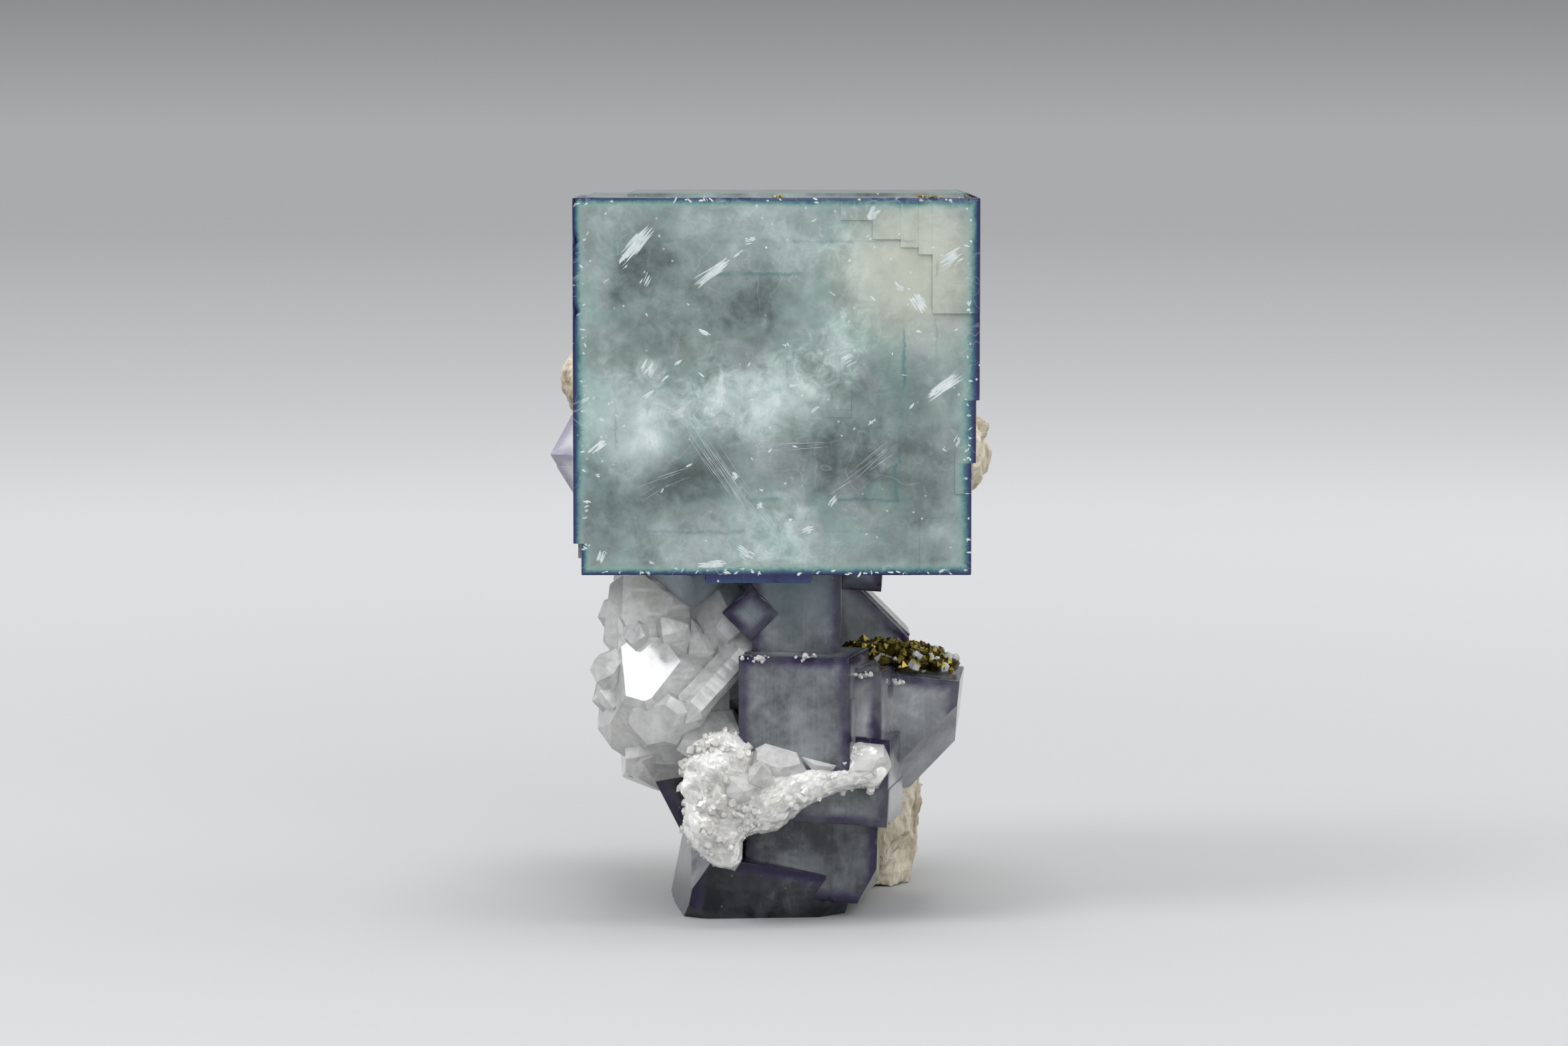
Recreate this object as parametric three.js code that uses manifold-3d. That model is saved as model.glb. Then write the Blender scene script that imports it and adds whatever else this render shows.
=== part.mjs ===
// A natural fluorite specimen: one large colour-zoned cube that grew on a cluster of smaller cubes,
// with quartz crystals, a crust of brassy sulphide grains and the pale rock that they all grew on.
// Millimetres, +Z up. The large cube's front face looks along -Y, and X runs to the right across it.

import * as THREE from "three";
import { ImprovedNoise } from "three/addons/math/ImprovedNoise.js";
import { mergeVertices } from "three/addons/utils/BufferGeometryUtils.js";
import Module from "manifold-3d";

const wasm = await Module();
wasm.setup();

// Driving dimensions of the large cube
const CUBE_WIDTH = 39.2; // X, between the plain side faces
const CUBE_DEPTH = 37; // Y
const CUBE_HEIGHT = 37.9; // Z
const CUBE_BOTTOM = 35.7; // its underside above the table
const CUBE_FRONT = -19; // Y of its front face

const GAP = 0.3; // clearance where one mineral is cut to meet another
const BEYOND = 60; // reach of a cutting block, larger than any piece that it cuts

// Faces of the large cube
const LEFT = -CUBE_WIDTH / 2;
const RIGHT = CUBE_WIDTH / 2;
const BACK = CUBE_FRONT + CUBE_DEPTH;
const TOP = CUBE_BOTTOM + CUBE_HEIGHT;

// Growth plates on the large cube's faces: each is a low terrace, from one corner to the other
const PLATE_ROOT = 1; // how far a plate reaches into the cube that carries it
const CUBE_PLATES = [
  { low: [RIGHT - PLATE_ROOT, CUBE_FRONT, 53.3], high: [RIGHT + 0.8, 9, TOP] },
  { low: [RIGHT - PLATE_ROOT, CUBE_FRONT, 47], high: [RIGHT + 0.45, 13, 60] },
  { low: [RIGHT - PLATE_ROOT, -6, 40], high: [RIGHT + 0.25, BACK, TOP - 4] },
  { low: [LEFT - 0.8, CUBE_FRONT, 38.9], high: [LEFT + PLATE_ROOT, 4, TOP] },
  { low: [LEFT - 0.4, CUBE_FRONT + 3, 37.2], high: [LEFT + PLATE_ROOT, BACK, 66] },
  { low: [-7.1, CUBE_FRONT, CUBE_BOTTOM - 0.8], high: [3.5, 2, CUBE_BOTTOM + PLATE_ROOT] },
  { low: [-15, CUBE_FRONT + 5, TOP - PLATE_ROOT], high: [RIGHT, BACK, TOP + 0.35] },
  { low: [-16, BACK - PLATE_ROOT, 40], high: [12, BACK + 0.5, TOP - 6] },
];

// Smaller fluorite cubes: size and centre in X, Y, Z, and turn in degrees about X, then Y, then Z.
// A cleaved face gives a point on it and the way that it looks out.
const SMALL_CUBES = [
  // front cube, with its right side just in view, and the plate on its upper right
  { size: [11.2, 11, 12], centre: [2.9, -12.8, 21.4], turn: [0, 0, -12] },
  { size: [4.2, 7, 4], centre: [6.2, -12.2, 25.2], turn: [0, 0, -12] },
  // stepped block behind and to the right of it, in two growth stages
  { size: [13, 12, 15], centre: [5, -9.4, 18.1], turn: [0, 1, -9] },
  { size: [13.6, 12.6, 9], centre: [5.6, -9.6, 14.7], turn: [0, 3, -9] },
  // lower cube and the dark foot under it
  {
    size: [13.4, 14, 11],
    centre: [3.9, -5.8, 7.6],
    turn: [3, 2, -3],
    cleaved: [{ point: [10, -12, 4.4], normal: [0.86, -0.15, -0.48] }],
  },
  {
    size: [16.4, 16, 9],
    centre: [-1.5, -4.9, 2.2],
    turn: [9, 10, 7],
    cleaved: [
      { point: [-9.1, -13, 4.1], normal: [-0.78, -0.3, 0.52] },
      { point: [-8.9, -13, 1], normal: [-0.4, -0.6, -0.7] },
      { point: [5.6, -13, 1.6], normal: [0.55, -0.5, -0.67] },
    ],
  },
  // left cube, leaning over behind the quartz
  { size: [9.4, 13, 9.4], centre: [-8.1, -1.8, 14.4], turn: [0, -27, 4] },
  // pillar that carries the large cube, the cube set edgewise into its left side, and the block at its back
  { size: [9, 12, 16], centre: [2, -7.5, 29], turn: [0, 0, 0] },
  { size: [4.2, 8, 4.2], centre: [-2.6, -9.6, 31.4], turn: [0, 45, 0] },
  { size: [15, 14, 16], centre: [-1.8, 1, 28], turn: [0, 0, 0] },
  // cube that stands on its corner under the large cube's left half
  { size: [11, 11, 11], centre: [-8.8, -8, 40.2], turn: [45, 35.26, 90] },
  // right-hand shoulder cube
  {
    size: [13.4, 14, 12.4],
    centre: [12, -2.4, 18.6],
    turn: [0, 6, -4],
    cleaved: [
      { point: [17.2, -6, 17.6], normal: [0.62, -0.45, -0.64] },
      { point: [16.4, 0, 15.4], normal: [0.73, 0.1, -0.68] },
    ],
  },
];

// Cubes behind the large one
const REAR_CUBES = [
  { size: [15, 12, 15], centre: [3.5, 12, 26.8], turn: [0, 45, 0] },
  { size: [4.4, 7, 4], centre: [9, 8, 34], turn: [0, 4, 0] },
];
const WING = { size: [11.4, 11.4, 11.4], centre: [-15.3, 23.2, 45.4], turn: [0, 45, 57] };

// Quartz: six-sided points from base to tip, with the pyramid's height and a sideways lean of its apex
const QUARTZ_POINTS = [
  // columns that rise under the large cube
  { base: [-12.6, -3.4, 20], tip: [-12.6, -5, 42], radius: 4.7, pyramid: 4, spin: 20, lean: 0 },
  { base: [-6, -4, 22], tip: [-8, -6, 42], radius: 4, pyramid: 4, spin: 40, lean: 0 },
  // short points on the columns' front
  { base: [-13.2, -7, 22], tip: [-15.2, -10.6, 30.8], radius: 2.3, pyramid: 3, spin: 0, lean: 0.35 },
  { base: [-10.4, -8, 22], tip: [-11.6, -12, 30.2], radius: 2.2, pyramid: 2.6, spin: 25, lean: -0.3 },
  { base: [-7, -8, 21], tip: [-7.8, -11.6, 30.6], radius: 1.9, pyramid: 3, spin: 10, lean: 0.3 },
  { base: [-13.4, -4, 25], tip: [-15.4, -8.4, 34.4], radius: 2, pyramid: 2.6, spin: 44, lean: 0.2 },
  // point that looks out to the left, and the striated prism that slants down from the right
  { base: [-12, -5, 23.6], tip: [-18.9, -8.6, 22.2], radius: 2.1, pyramid: 1.4, spin: 15, lean: 0.3 },
  { base: [-1, -9.4, 29.6], tip: [-9.6, -16, 20.8], radius: 1.7, pyramid: 1.6, spin: 5, lean: 0.4 },
  // lower left
  { base: [-8, -4, 18], tip: [-15.4, -8, 14.4], radius: 2.2, pyramid: 1.8, spin: 50, lean: 0.3 },
  // sprays between the tooth and the front cube
  { base: [-3, -14, 13], tip: [-1, -20.6, 16.4], radius: 1.6, pyramid: 1.8, spin: 8, lean: 0.3 },
  { base: [-4, -14, 13], tip: [-3.6, -21.2, 14.4], radius: 1.7, pyramid: 1.6, spin: 44, lean: -0.3 },
  { base: [-5, -13, 14], tip: [-6.4, -19.8, 16], radius: 1.7, pyramid: 1.5, spin: 20, lean: 0.2 },
];

// Massive quartz: the large faceted crystal on the left, with its flat faces, and rough lumps
const QUARTZ_MASS = { centre: [-11.6, -8.6, 22.2], radii: [6.8, 9, 6.6], seed: 1 };
const QUARTZ_FACES = [
  { point: [-11.3, -14.6, 24.3], normal: [-0.35, -0.8, 0.49] },
  { point: [-11.3, -14.6, 24.3], normal: [0.42, -0.7, -0.59] },
  { point: [-14, -14.4, 20.6], normal: [-0.3, -0.72, -0.62] },
  { point: [-16.4, -11, 23.6], normal: [-0.94, -0.32, 0.1] },
];
const QUARTZ_LUMPS = [
  { centre: [-12, -6.4, 16], radii: [4.6, 5, 3.6], seed: 2 },
  { centre: [-6, -11.5, 17.6], radii: [4.2, 5, 3.6], seed: 3 },
  { centre: [-5.4, -17.2, 11], radii: [3.7, 4, 4.8], seed: 4 },
  { centre: [9, -16.8, 16.2], radii: [2.6, 2.8, 2.3], seed: 5 },
];

// The tooth and the arm: one sheet of quartz over the front cubes, drawn from the front in X and Z
const SHEET_FRONT = -20.2;
const SHEET_THICKNESS = 8;
const SHEET_BEVEL = 1;
const SHEET_OUTLINE = [
  [-7.8, 18.6],
  [-9.4, 10.4],
  [-8.2, 8.3],
  [-6.2, 6.1],
  [-4.2, 5.5],
  [-2.9, 6.9],
  [-2.5, 8.4],
  [-0.8, 9.2],
  [3.4, 13.4],
  [5.8, 14.3],
  [11.3, 14],
  [11.2, 16.4],
  [10.2, 18.2],
  [8.6, 18.6],
  [2.8, 16],
  [-3, 18.6],
];

// Rock: rough lumps under and behind the crystals
const ROCK_LUMPS = [
  { centre: [2.6, 12, 13], radii: [13.4, 14.5, 19], seed: 11 },
  { centre: [-2, 18.4, 30], radii: [11, 8, 14], seed: 12 },
  { centre: [-1, 22.6, 47], radii: [22, 7.2, 13], seed: 17 },
  { centre: [18.2, 20.8, 45.4], radii: [5.8, 5.4, 6.2], seed: 13 },
  { centre: [-17, 22.6, 52.8], radii: [7.2, 5.6, 5.4], seed: 14 },
  { centre: [10.6, 13.4, 5.6], radii: [4.4, 6, 9.5], seed: 15 },
  { centre: [-5.4, 15.6, 4.4], radii: [4.6, 7, 8], seed: 16 },
];
// Upright blades of rock that fan out round the right-hand foot
const BLADES = 5;
const BLADE_SIZE = [2.2, 6, 11];
const BLADE_CENTRE = [8.6, 13.6, 5.2]; // the middle of the fan
const BLADE_REACH = 4.4; // from that middle to a blade

// Surface of every lump
const LUMP_ROUGHNESS = 0.24; // height of a lump's relief beside its radius
const LUMP_PITCH = 2.3; // bumps across a lump's radius
const LUMP_DETAIL = 3; // how finely a lump is faceted
const FRACTURES = 9; // flat broken faces round a lump
const FRACTURE_DEPTH = 0.8; // distance of a broken face from the middle, beside the radius
const GOLDEN_ANGLE = Math.PI * (3 - Math.sqrt(5));

// Sulphide crust on the shoulder cube: a low rough bed with sharp grains on it
const CRUST_BED = { centre: [12.7, -2.6, 24.9], radii: [6, 6.4, 1.9], seed: 21 };
const CRUST_SLOPE = 0.1; // fall of the bed for each millimetre to the right
const GRAIN_RINGS = 5;
const GRAINS_PER_RING = 6; // more in each ring outwards
const GRAIN_RADIUS = 0.8;

const COLOURS = {
  main_cube: 0x8fa5a4,
  fluorite_cluster: 0x6d6c7c,
  rear_cube: 0x7f7c92,
  wing_crystal: 0xc4c2d0,
  quartz_cluster: 0xbcbcba,
  sulphide_crust: 0x6e6230,
  matrix_rock: 0xcfc6b4,
};

const noise = new ImprovedNoise();
const radians = THREE.MathUtils.degToRad;

// A closed solid from a three.js geometry, placed by a matrix
function solidOf(geometry, matrix = new THREE.Matrix4()) {
  const bare = geometry.clone().applyMatrix4(matrix);
  bare.deleteAttribute("normal");
  bare.deleteAttribute("uv");
  const merged = mergeVertices(bare, 1e-4);
  return new wasm.Manifold(
    new wasm.Mesh({
      numProp: 3,
      vertProperties: new Float32Array(merged.attributes.position.array),
      triVerts: new Uint32Array(merged.index.array),
    }),
  );
}

// A flat-shaded three.js geometry from a solid
function geometryOf(solid) {
  const { vertProperties, triVerts } = solid.getMesh();
  const geometry = new THREE.BufferGeometry();
  geometry.setAttribute("position", new THREE.BufferAttribute(new Float32Array(vertProperties), 3));
  geometry.setIndex(new THREE.BufferAttribute(new Uint32Array(triVerts), 1));
  const flat = geometry.toNonIndexed();
  flat.computeVertexNormals();
  return flat;
}

function join(solids) {
  return solids.reduce((whole, solid) => whole.add(solid));
}

// What is left of a solid after the cuts, without the loose slivers that a cut can leave
function cut(solid, cutters) {
  const bodies = cutters.reduce((left, cutter) => left.subtract(cutter), solid).decompose();
  return bodies.reduce((largest, body) => (body.volume() > largest.volume() ? body : largest));
}

// The matrix that turns a piece about X, then Y, then Z and sets it at its centre
function placing({ centre, turn = [0, 0, 0] }) {
  const turned = new THREE.Euler(...turn.map(radians), "ZYX");
  return new THREE.Matrix4().makeRotationFromEuler(turned).setPosition(...centre);
}

// Everything on the outer side of a flat face that is moved outwards by grow, to be cut away
function beyondFace({ point, normal }, grow = 0) {
  const outward = new THREE.Vector3(...normal).normalize();
  const turned = new THREE.Quaternion().setFromUnitVectors(new THREE.Vector3(0, 0, 1), outward);
  const centre = new THREE.Vector3(...point).addScaledVector(outward, BEYOND / 2 + grow);
  const place = new THREE.Matrix4().compose(centre, turned, new THREE.Vector3(1, 1, 1));
  return solidOf(new THREE.BoxGeometry(BEYOND, BEYOND, BEYOND), place);
}

// A cube or block with its cleaved faces, grown outwards on every face by grow
function block(spec, grow = 0) {
  const size = spec.size.map((side) => side + 2 * grow);
  const whole = solidOf(new THREE.BoxGeometry(...size), placing(spec));
  const cleaved = spec.cleaved ?? [];
  return cut(whole, cleaved.map((face) => beyondFace(face, grow)));
}

// A block between two corners, grown outwards by grow
function slab({ low, high }, grow = 0) {
  const size = high.map((side, axis) => side - low[axis]);
  const centre = high.map((side, axis) => (side + low[axis]) / 2);
  return block({ size, centre }, grow);
}

// A quartz point: a six-sided prism that ends in a pyramid whose apex leans to one side
function quartzPoint({ base, tip, radius, pyramid, spin, lean }, grow = 0) {
  const from = new THREE.Vector3(...base);
  const axis = new THREE.Vector3(...tip).sub(from);
  const length = axis.length() + grow;
  const shoulder = length - pyramid;
  const girth = radius + grow;
  const profile = [
    new THREE.Vector2(0, 0),
    new THREE.Vector2(girth, 0),
    new THREE.Vector2(girth, shoulder),
    new THREE.Vector2(0, length),
  ];
  const geometry = new THREE.LatheGeometry(profile, 6);
  const place = geometry.attributes.position;
  for (let i = 0; i < place.count; i++) {
    const above = Math.max(0, place.getY(i) - shoulder);
    place.setX(i, place.getX(i) + lean * above);
  }
  geometry.rotateY(radians(spin));
  const turned = new THREE.Quaternion().setFromUnitVectors(new THREE.Vector3(0, 1, 0), axis.normalize());
  return solidOf(geometry, new THREE.Matrix4().compose(from, turned, new THREE.Vector3(1, 1, 1)));
}

// How far a lump reaches along a unit vector before one of its broken faces, which are spread evenly by a spiral
function fractureReach(point, seed) {
  let reach = 1;
  for (let i = 0; i < FRACTURES; i++) {
    const height = 1 - (2 * i + 1) / FRACTURES;
    const girth = Math.sqrt(1 - height * height);
    const angle = i * GOLDEN_ANGLE + seed;
    const face = new THREE.Vector3(girth * Math.cos(angle), girth * Math.sin(angle), height);
    const along = point.dot(face);
    if (along > 0) reach = Math.min(reach, FRACTURE_DEPTH / along);
  }
  return reach;
}

// A rough broken lump: a ball with flat broken faces whose radius rises and falls with noise,
// stretched to its three radii
function lump({ centre, radii, seed }, grow = 0) {
  const geometry = new THREE.IcosahedronGeometry(1, LUMP_DETAIL);
  const place = geometry.attributes.position;
  const point = new THREE.Vector3();
  for (let i = 0; i < place.count; i++) {
    point.fromBufferAttribute(place, i);
    const bump = noise.noise(
      LUMP_PITCH * point.x + seed,
      LUMP_PITCH * point.y - seed,
      LUMP_PITCH * point.z + 2 * seed,
    );
    point.multiplyScalar((1 + LUMP_ROUGHNESS * bump) * fractureReach(point, seed));
    place.setXYZ(i, point.x, point.y, point.z);
  }
  geometry.scale(...radii.map((radius) => radius + grow));
  geometry.translate(...centre);
  return solidOf(geometry);
}

const underTable = slab({ low: [-BEYOND, -BEYOND, -BEYOND], high: [BEYOND, BEYOND, 0] });

// The large cube with its growth plates
function largeCube(grow = 0) {
  const core = { low: [LEFT, CUBE_FRONT, CUBE_BOTTOM], high: [RIGHT, BACK, TOP] };
  return join([core, ...CUBE_PLATES].map((plate) => slab(plate, grow)));
}

// The smaller cubes, grown through each other
function smallCubes(grow = 0) {
  return join(SMALL_CUBES.map((spec) => block(spec, grow)));
}

function rearCubes(grow = 0) {
  return join(REAR_CUBES.map((spec) => block(spec, grow)));
}

// The tooth and the arm, grown outwards by grow
function quartzSheet(grow = 0) {
  const outline = new THREE.Shape(SHEET_OUTLINE.map(([x, z]) => new THREE.Vector2(x, z)));
  const geometry = new THREE.ExtrudeGeometry(outline, {
    depth: SHEET_THICKNESS - 2 * SHEET_BEVEL,
    bevelThickness: SHEET_BEVEL + grow,
    bevelSize: SHEET_BEVEL + grow,
    bevelOffset: -SHEET_BEVEL,
    bevelSegments: 2,
  });
  geometry.rotateX(Math.PI / 2);
  geometry.translate(0, SHEET_FRONT + SHEET_THICKNESS - SHEET_BEVEL, 0);
  return solidOf(geometry);
}

function quartz(grow = 0) {
  const faces = QUARTZ_FACES.map((face) => beyondFace(face, grow));
  const mass = cut(lump(QUARTZ_MASS, grow), faces);
  const lumps = QUARTZ_LUMPS.map((spec) => lump(spec, grow));
  const points = QUARTZ_POINTS.map((spec) => quartzPoint(spec, grow));
  return join([mass, quartzSheet(grow), ...lumps, ...points]);
}

// A rough bed with rings of eight-sided grains, each shifted, sized and turned by noise
function crust() {
  const [x, y, z] = CRUST_BED.centre;
  const [reach, width, height] = CRUST_BED.radii;
  const grains = [];
  for (let ring = 1; ring <= GRAIN_RINGS; ring++) {
    const count = GRAINS_PER_RING * ring;
    for (let i = 0; i < count; i++) {
      const wander = noise.noise(3.7 * ring + 0.4, 1.9 * i + 0.7, 5.1);
      const out = (ring - 0.5 + 0.5 * wander) / GRAIN_RINGS;
      const angle = (2 * Math.PI * (i + wander)) / count;
      const along = reach * out * Math.cos(angle);
      const dome = height * Math.sqrt(Math.max(0, 1 - out * out));
      const centre = [x + along, y + width * out * Math.sin(angle), z + dome - CRUST_SLOPE * along];
      const grain = new THREE.OctahedronGeometry(GRAIN_RADIUS * (1 + 0.8 * wander));
      grains.push(solidOf(grain, placing({ centre, turn: [97 * wander, 61 * i, 43 * ring] })));
    }
  }
  return join([lump(CRUST_BED), ...grains]);
}

// The blades, spread over a third of a turn to the right
function blades() {
  const [x, y, z] = BLADE_CENTRE;
  return Array.from({ length: BLADES }, (_, i) => {
    const heading = 120 * (i / (BLADES - 1) - 0.5);
    const along = BLADE_REACH * Math.cos(radians(heading));
    const across = BLADE_REACH * Math.sin(radians(heading));
    const height = z - 0.4 * Math.abs(i - BLADES / 2);
    return block({ size: BLADE_SIZE, centre: [x + along, y + across, height], turn: [0, 8, heading + 25] });
  });
}

const cube = largeCube();
const cubeRoom = largeCube(GAP);
const cluster = cut(smallCubes(), [cubeRoom, underTable]);
const clusterRoom = smallCubes(GAP);
const rear = cut(rearCubes(), [cubeRoom, clusterRoom]);
const wing = cut(block(WING), [cubeRoom]);
const quartzGrowth = cut(quartz(), [cubeRoom, clusterRoom, rearCubes(GAP)]);
const sulphide = cut(crust(), [clusterRoom, cubeRoom, rearCubes(GAP)]);
const rock = cut(join([...ROCK_LUMPS.map((spec) => lump(spec)), ...blades()]), [
  cubeRoom,
  clusterRoom,
  rearCubes(GAP),
  block(WING, GAP),
  quartz(GAP),
  underTable,
]);

const specimen = new THREE.Group();
specimen.name = "fluorite_specimen";

function add(name, solid, roughness, metalness = 0) {
  const material = new THREE.MeshStandardMaterial({ color: COLOURS[name], roughness, metalness });
  const mesh = new THREE.Mesh(geometryOf(solid), material);
  mesh.name = name;
  specimen.add(mesh);
}

add("main_cube", cube, 0.15);
add("fluorite_cluster", cluster, 0.2);
add("rear_cube", rear, 0.2);
add("wing_crystal", wing, 0.2);
add("quartz_cluster", quartzGrowth, 0.25);
add("sulphide_crust", sulphide, 0.35, 0.9);
add("matrix_rock", rock, 0.85);

// The origin is under the middle of the specimen's box, on the table
const box = new THREE.Box3().setFromObject(specimen);
const middle = box.getCenter(new THREE.Vector3());
for (const mesh of specimen.children) mesh.position.set(-middle.x, -middle.y, -box.min.z);

export default specimen;
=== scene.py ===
import math

import bpy
import numpy as np
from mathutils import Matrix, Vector


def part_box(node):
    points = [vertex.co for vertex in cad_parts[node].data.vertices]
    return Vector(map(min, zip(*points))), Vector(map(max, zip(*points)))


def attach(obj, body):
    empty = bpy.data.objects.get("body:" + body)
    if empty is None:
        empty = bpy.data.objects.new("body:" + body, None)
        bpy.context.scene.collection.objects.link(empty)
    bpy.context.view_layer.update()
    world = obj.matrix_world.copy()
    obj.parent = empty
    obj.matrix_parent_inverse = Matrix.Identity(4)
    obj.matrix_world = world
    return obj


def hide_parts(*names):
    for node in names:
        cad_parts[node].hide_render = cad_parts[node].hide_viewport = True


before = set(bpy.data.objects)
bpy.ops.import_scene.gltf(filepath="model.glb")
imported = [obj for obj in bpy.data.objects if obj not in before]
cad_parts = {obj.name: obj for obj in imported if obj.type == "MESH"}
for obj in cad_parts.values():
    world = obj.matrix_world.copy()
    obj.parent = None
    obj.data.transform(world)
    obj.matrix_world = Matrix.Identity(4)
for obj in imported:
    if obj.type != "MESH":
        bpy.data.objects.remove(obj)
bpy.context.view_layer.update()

bl_info = {
    "name": "Fluorite specimen",
    "version": (1, 0, 0),
    "blender": (4, 5, 0),
    "location": "View3D > Sidebar > Specimen",
    "description": "Dresses a packed fluorite specimen with its crystals, quartz, sulphide grains and rock",
    "category": "Add Mesh",
}

MM = 0.001
CUBE_LOW, CUBE_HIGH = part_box("main_cube")

# Large cube in millimetres, in the source's own frame: X from its middle, Y with its front face at -19
CUBE_FRONT = -19.0
CUBE_BACK = 18.0
CUBE_BOTTOM = 35.7
CUBE_TOP = 73.6
CUBE_SIZE = np.array((39.2, 37.0, 37.9))
CUBE_CENTRE = np.array((0.0, -0.5, 54.65))
# From the source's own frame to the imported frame
SHIFT = np.array(((CUBE_LOW.x + CUBE_HIGH.x) / 2 / MM, CUBE_LOW.y / MM - CUBE_FRONT, 0.0))

# Growth plates on the large cube: axis and side of the face, low and high corner, and thickness
CUBE_PLATES = (
    (0, 1, (18.6, -19, 53.3), (20.4, 9, 73.6), 0.8),
    (0, 1, (18.6, -19, 47), (20, 13, 60), 0.45),
    (0, 1, (18.6, -6, 40), (20, 18, 69.6), 0.25),
    (0, -1, (-20.4, -19, 38.9), (-18.6, 4, 73.6), 0.8),
    (0, -1, (-20, -16, 37.2), (-18.6, 18, 66), 0.4),
    (2, -1, (-7.1, -19, 34.9), (3.5, 2, 36.7), 0.8),
    (2, 1, (-15, -14, 72.6), (19.6, 18, 74), 0.35),
    (1, 1, (-16, 17, 40), (12, 18.5, 67.6), 0.5),
    # thin growth layers on the front face: the stair at its upper right, and short steps below
    (1, -1, (6.4, -20, 71.3), (19.6, -18, 73.6), 0.1),
    (1, -1, (9.6, -20, 69.4), (19.6, -18, 73.6), 0.17),
    (1, -1, (12.4, -20, 68.6), (19.6, -18, 73.6), 0.24),
    (1, -1, (14.2, -20, 67.9), (19.6, -18, 73.6), 0.31),
    (1, -1, (15.6, -20, 62), (19.6, -18, 73.6), 0.36),
    (1, -1, (4.6, -20, 51.6), (7.5, -18, 53.4), 0.06),
    (1, -1, (5.6, -20, 52.4), (7.5, -18, 54.4), 0.1),
    (1, -1, (14.4, -20, 35.7), (19.6, -18, 41.4), 0.1),
    (1, -1, (17.9, -20, 43.9), (19.6, -18, 48), 0.14),
)

# Smaller cubes: size, centre, turn in degrees about X, then Y, then Z, cleaved faces, and how dark each is,
# from
# 0, pale, to 1, nearly black, partly the crystal's own smoke and partly painted shade on the low cubes and
# the foot.
# A cleaved face has a point, the way it looks out and, if it differs from the cube's, its own darkness, which
# on the foot's upper left face is painted light
SMALL_CUBES = (
    ((11.2, 11, 12), (2.9, -12.8, 21.4), (0, 0, -12), (), 0.52),
    ((4.2, 7, 4), (6.2, -12.2, 25.2), (0, 0, -12), (), 0.4),
    ((13, 12, 15), (5, -9.4, 18.1), (0, 1, -9), (), 0.26),
    ((1.5, 10, 14.4), (8.7, -10.9, 18.9), (0, 1, -14), (), 0.2),
    ((1.3, 10, 12.8), (10.1, -10.2, 18.5), (0, 1, -16), (), 0.12),
    ((1.1, 9.6, 11), (11.3, -9.2, 18.2), (0, 2, -18), (), 0.2),
    ((13.6, 12.6, 9), (5.6, -9.6, 14.7), (0, 3, -9), (), 0.46),
    ((13.4, 14, 11), (3.9, -5.8, 7.6), (3, 2, -3), (((10, -12, 4.4), (0.86, -0.15, -0.48)),), 0.74),
    (
        (16.4, 16, 9),
        (-1.5, -4.9, 2.2),
        (9, 10, 7),
        (
            ((-8.3, -13, 4.1), (-0.78, -0.3, 0.52), 0.3),
            ((-8.9, -13, 1), (-0.4, -0.6, -0.7)),
            ((5.6, -13, 1.6), (0.55, -0.5, -0.67)),
        ),
        1.0,
    ),
    ((9.4, 13, 9.4), (-8.1, -1.8, 14.4), (0, -27, 4), (), 0.85),
    ((9, 12, 16), (2, -7.5, 29), (0, 0, 0), (), 0.46),
    ((4.2, 8, 4.2), (-2.6, -9.6, 31.4), (0, 45, 0), (), 0.35),
    ((15, 14, 16), (-1.8, 1, 28), (0, 0, 0), (), 0.4),
    ((11, 11, 11), (-8.6, -12.4, 40.9), (45, 35.26, 90), (), 0.0),
    (
        (13.4, 14, 12.4),
        (12, -2.4, 18.6),
        (0, 6, -4),
        (((17.2, -6, 17.6), (0.62, -0.45, -0.64)), ((16.4, 0, 15.4), (0.73, 0.1, -0.68))),
        0.33,
    ),
    ((15, 12, 15), (3.5, 12, 26.8), (0, 45, 0), (), 0.3),
    ((4.4, 7, 4), (9, 8, 34), (0, 4, 0), (), 0.4),
)
WING = ((11.4, 11.4, 11.4), (-15.3, 23.2, 45.4), (0, 45, 57))

# Quartz points: base, tip, radius, pyramid height, spin in degrees, lean of the apex
QUARTZ_POINTS = (
    ((-12.6, -3.4, 20), (-12.6, -5, 42), 4.7, 4, 20, 0),
    ((-6, -4, 22), (-8, -6, 42), 4, 4, 40, 0),
    ((-13.2, -7, 22), (-15.2, -10.6, 30.8), 2.3, 3, 0, 0.35),
    ((-10.4, -8, 22), (-11.6, -12, 30.2), 2.2, 2.6, 25, -0.3),
    ((-7, -8, 21), (-7.8, -11.6, 30.6), 1.9, 3, 10, 0.3),
    ((-13.4, -4, 25), (-15.4, -8.4, 34.4), 2, 2.6, 44, 0.2),
    ((-12, -5, 23.6), (-18.9, -8.6, 22.2), 2.1, 1.4, 15, 0.3),
    ((-1, -9.4, 29.6), (-9.6, -16, 20.8), 1.7, 1.6, 5, 0.4),
    ((-8, -4, 18), (-15.4, -8, 14.4), 2.2, 1.8, 50, 0.3),
    ((-3, -14, 13), (-1, -20.6, 16.4), 1.6, 1.8, 8, 0.3),
    ((-4, -14, 13), (-3.6, -21.2, 14.4), 1.7, 1.6, 44, -0.3),
    ((-5, -13, 14), (-6.4, -19.8, 16), 1.7, 1.5, 20, 0.2),
)
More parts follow.
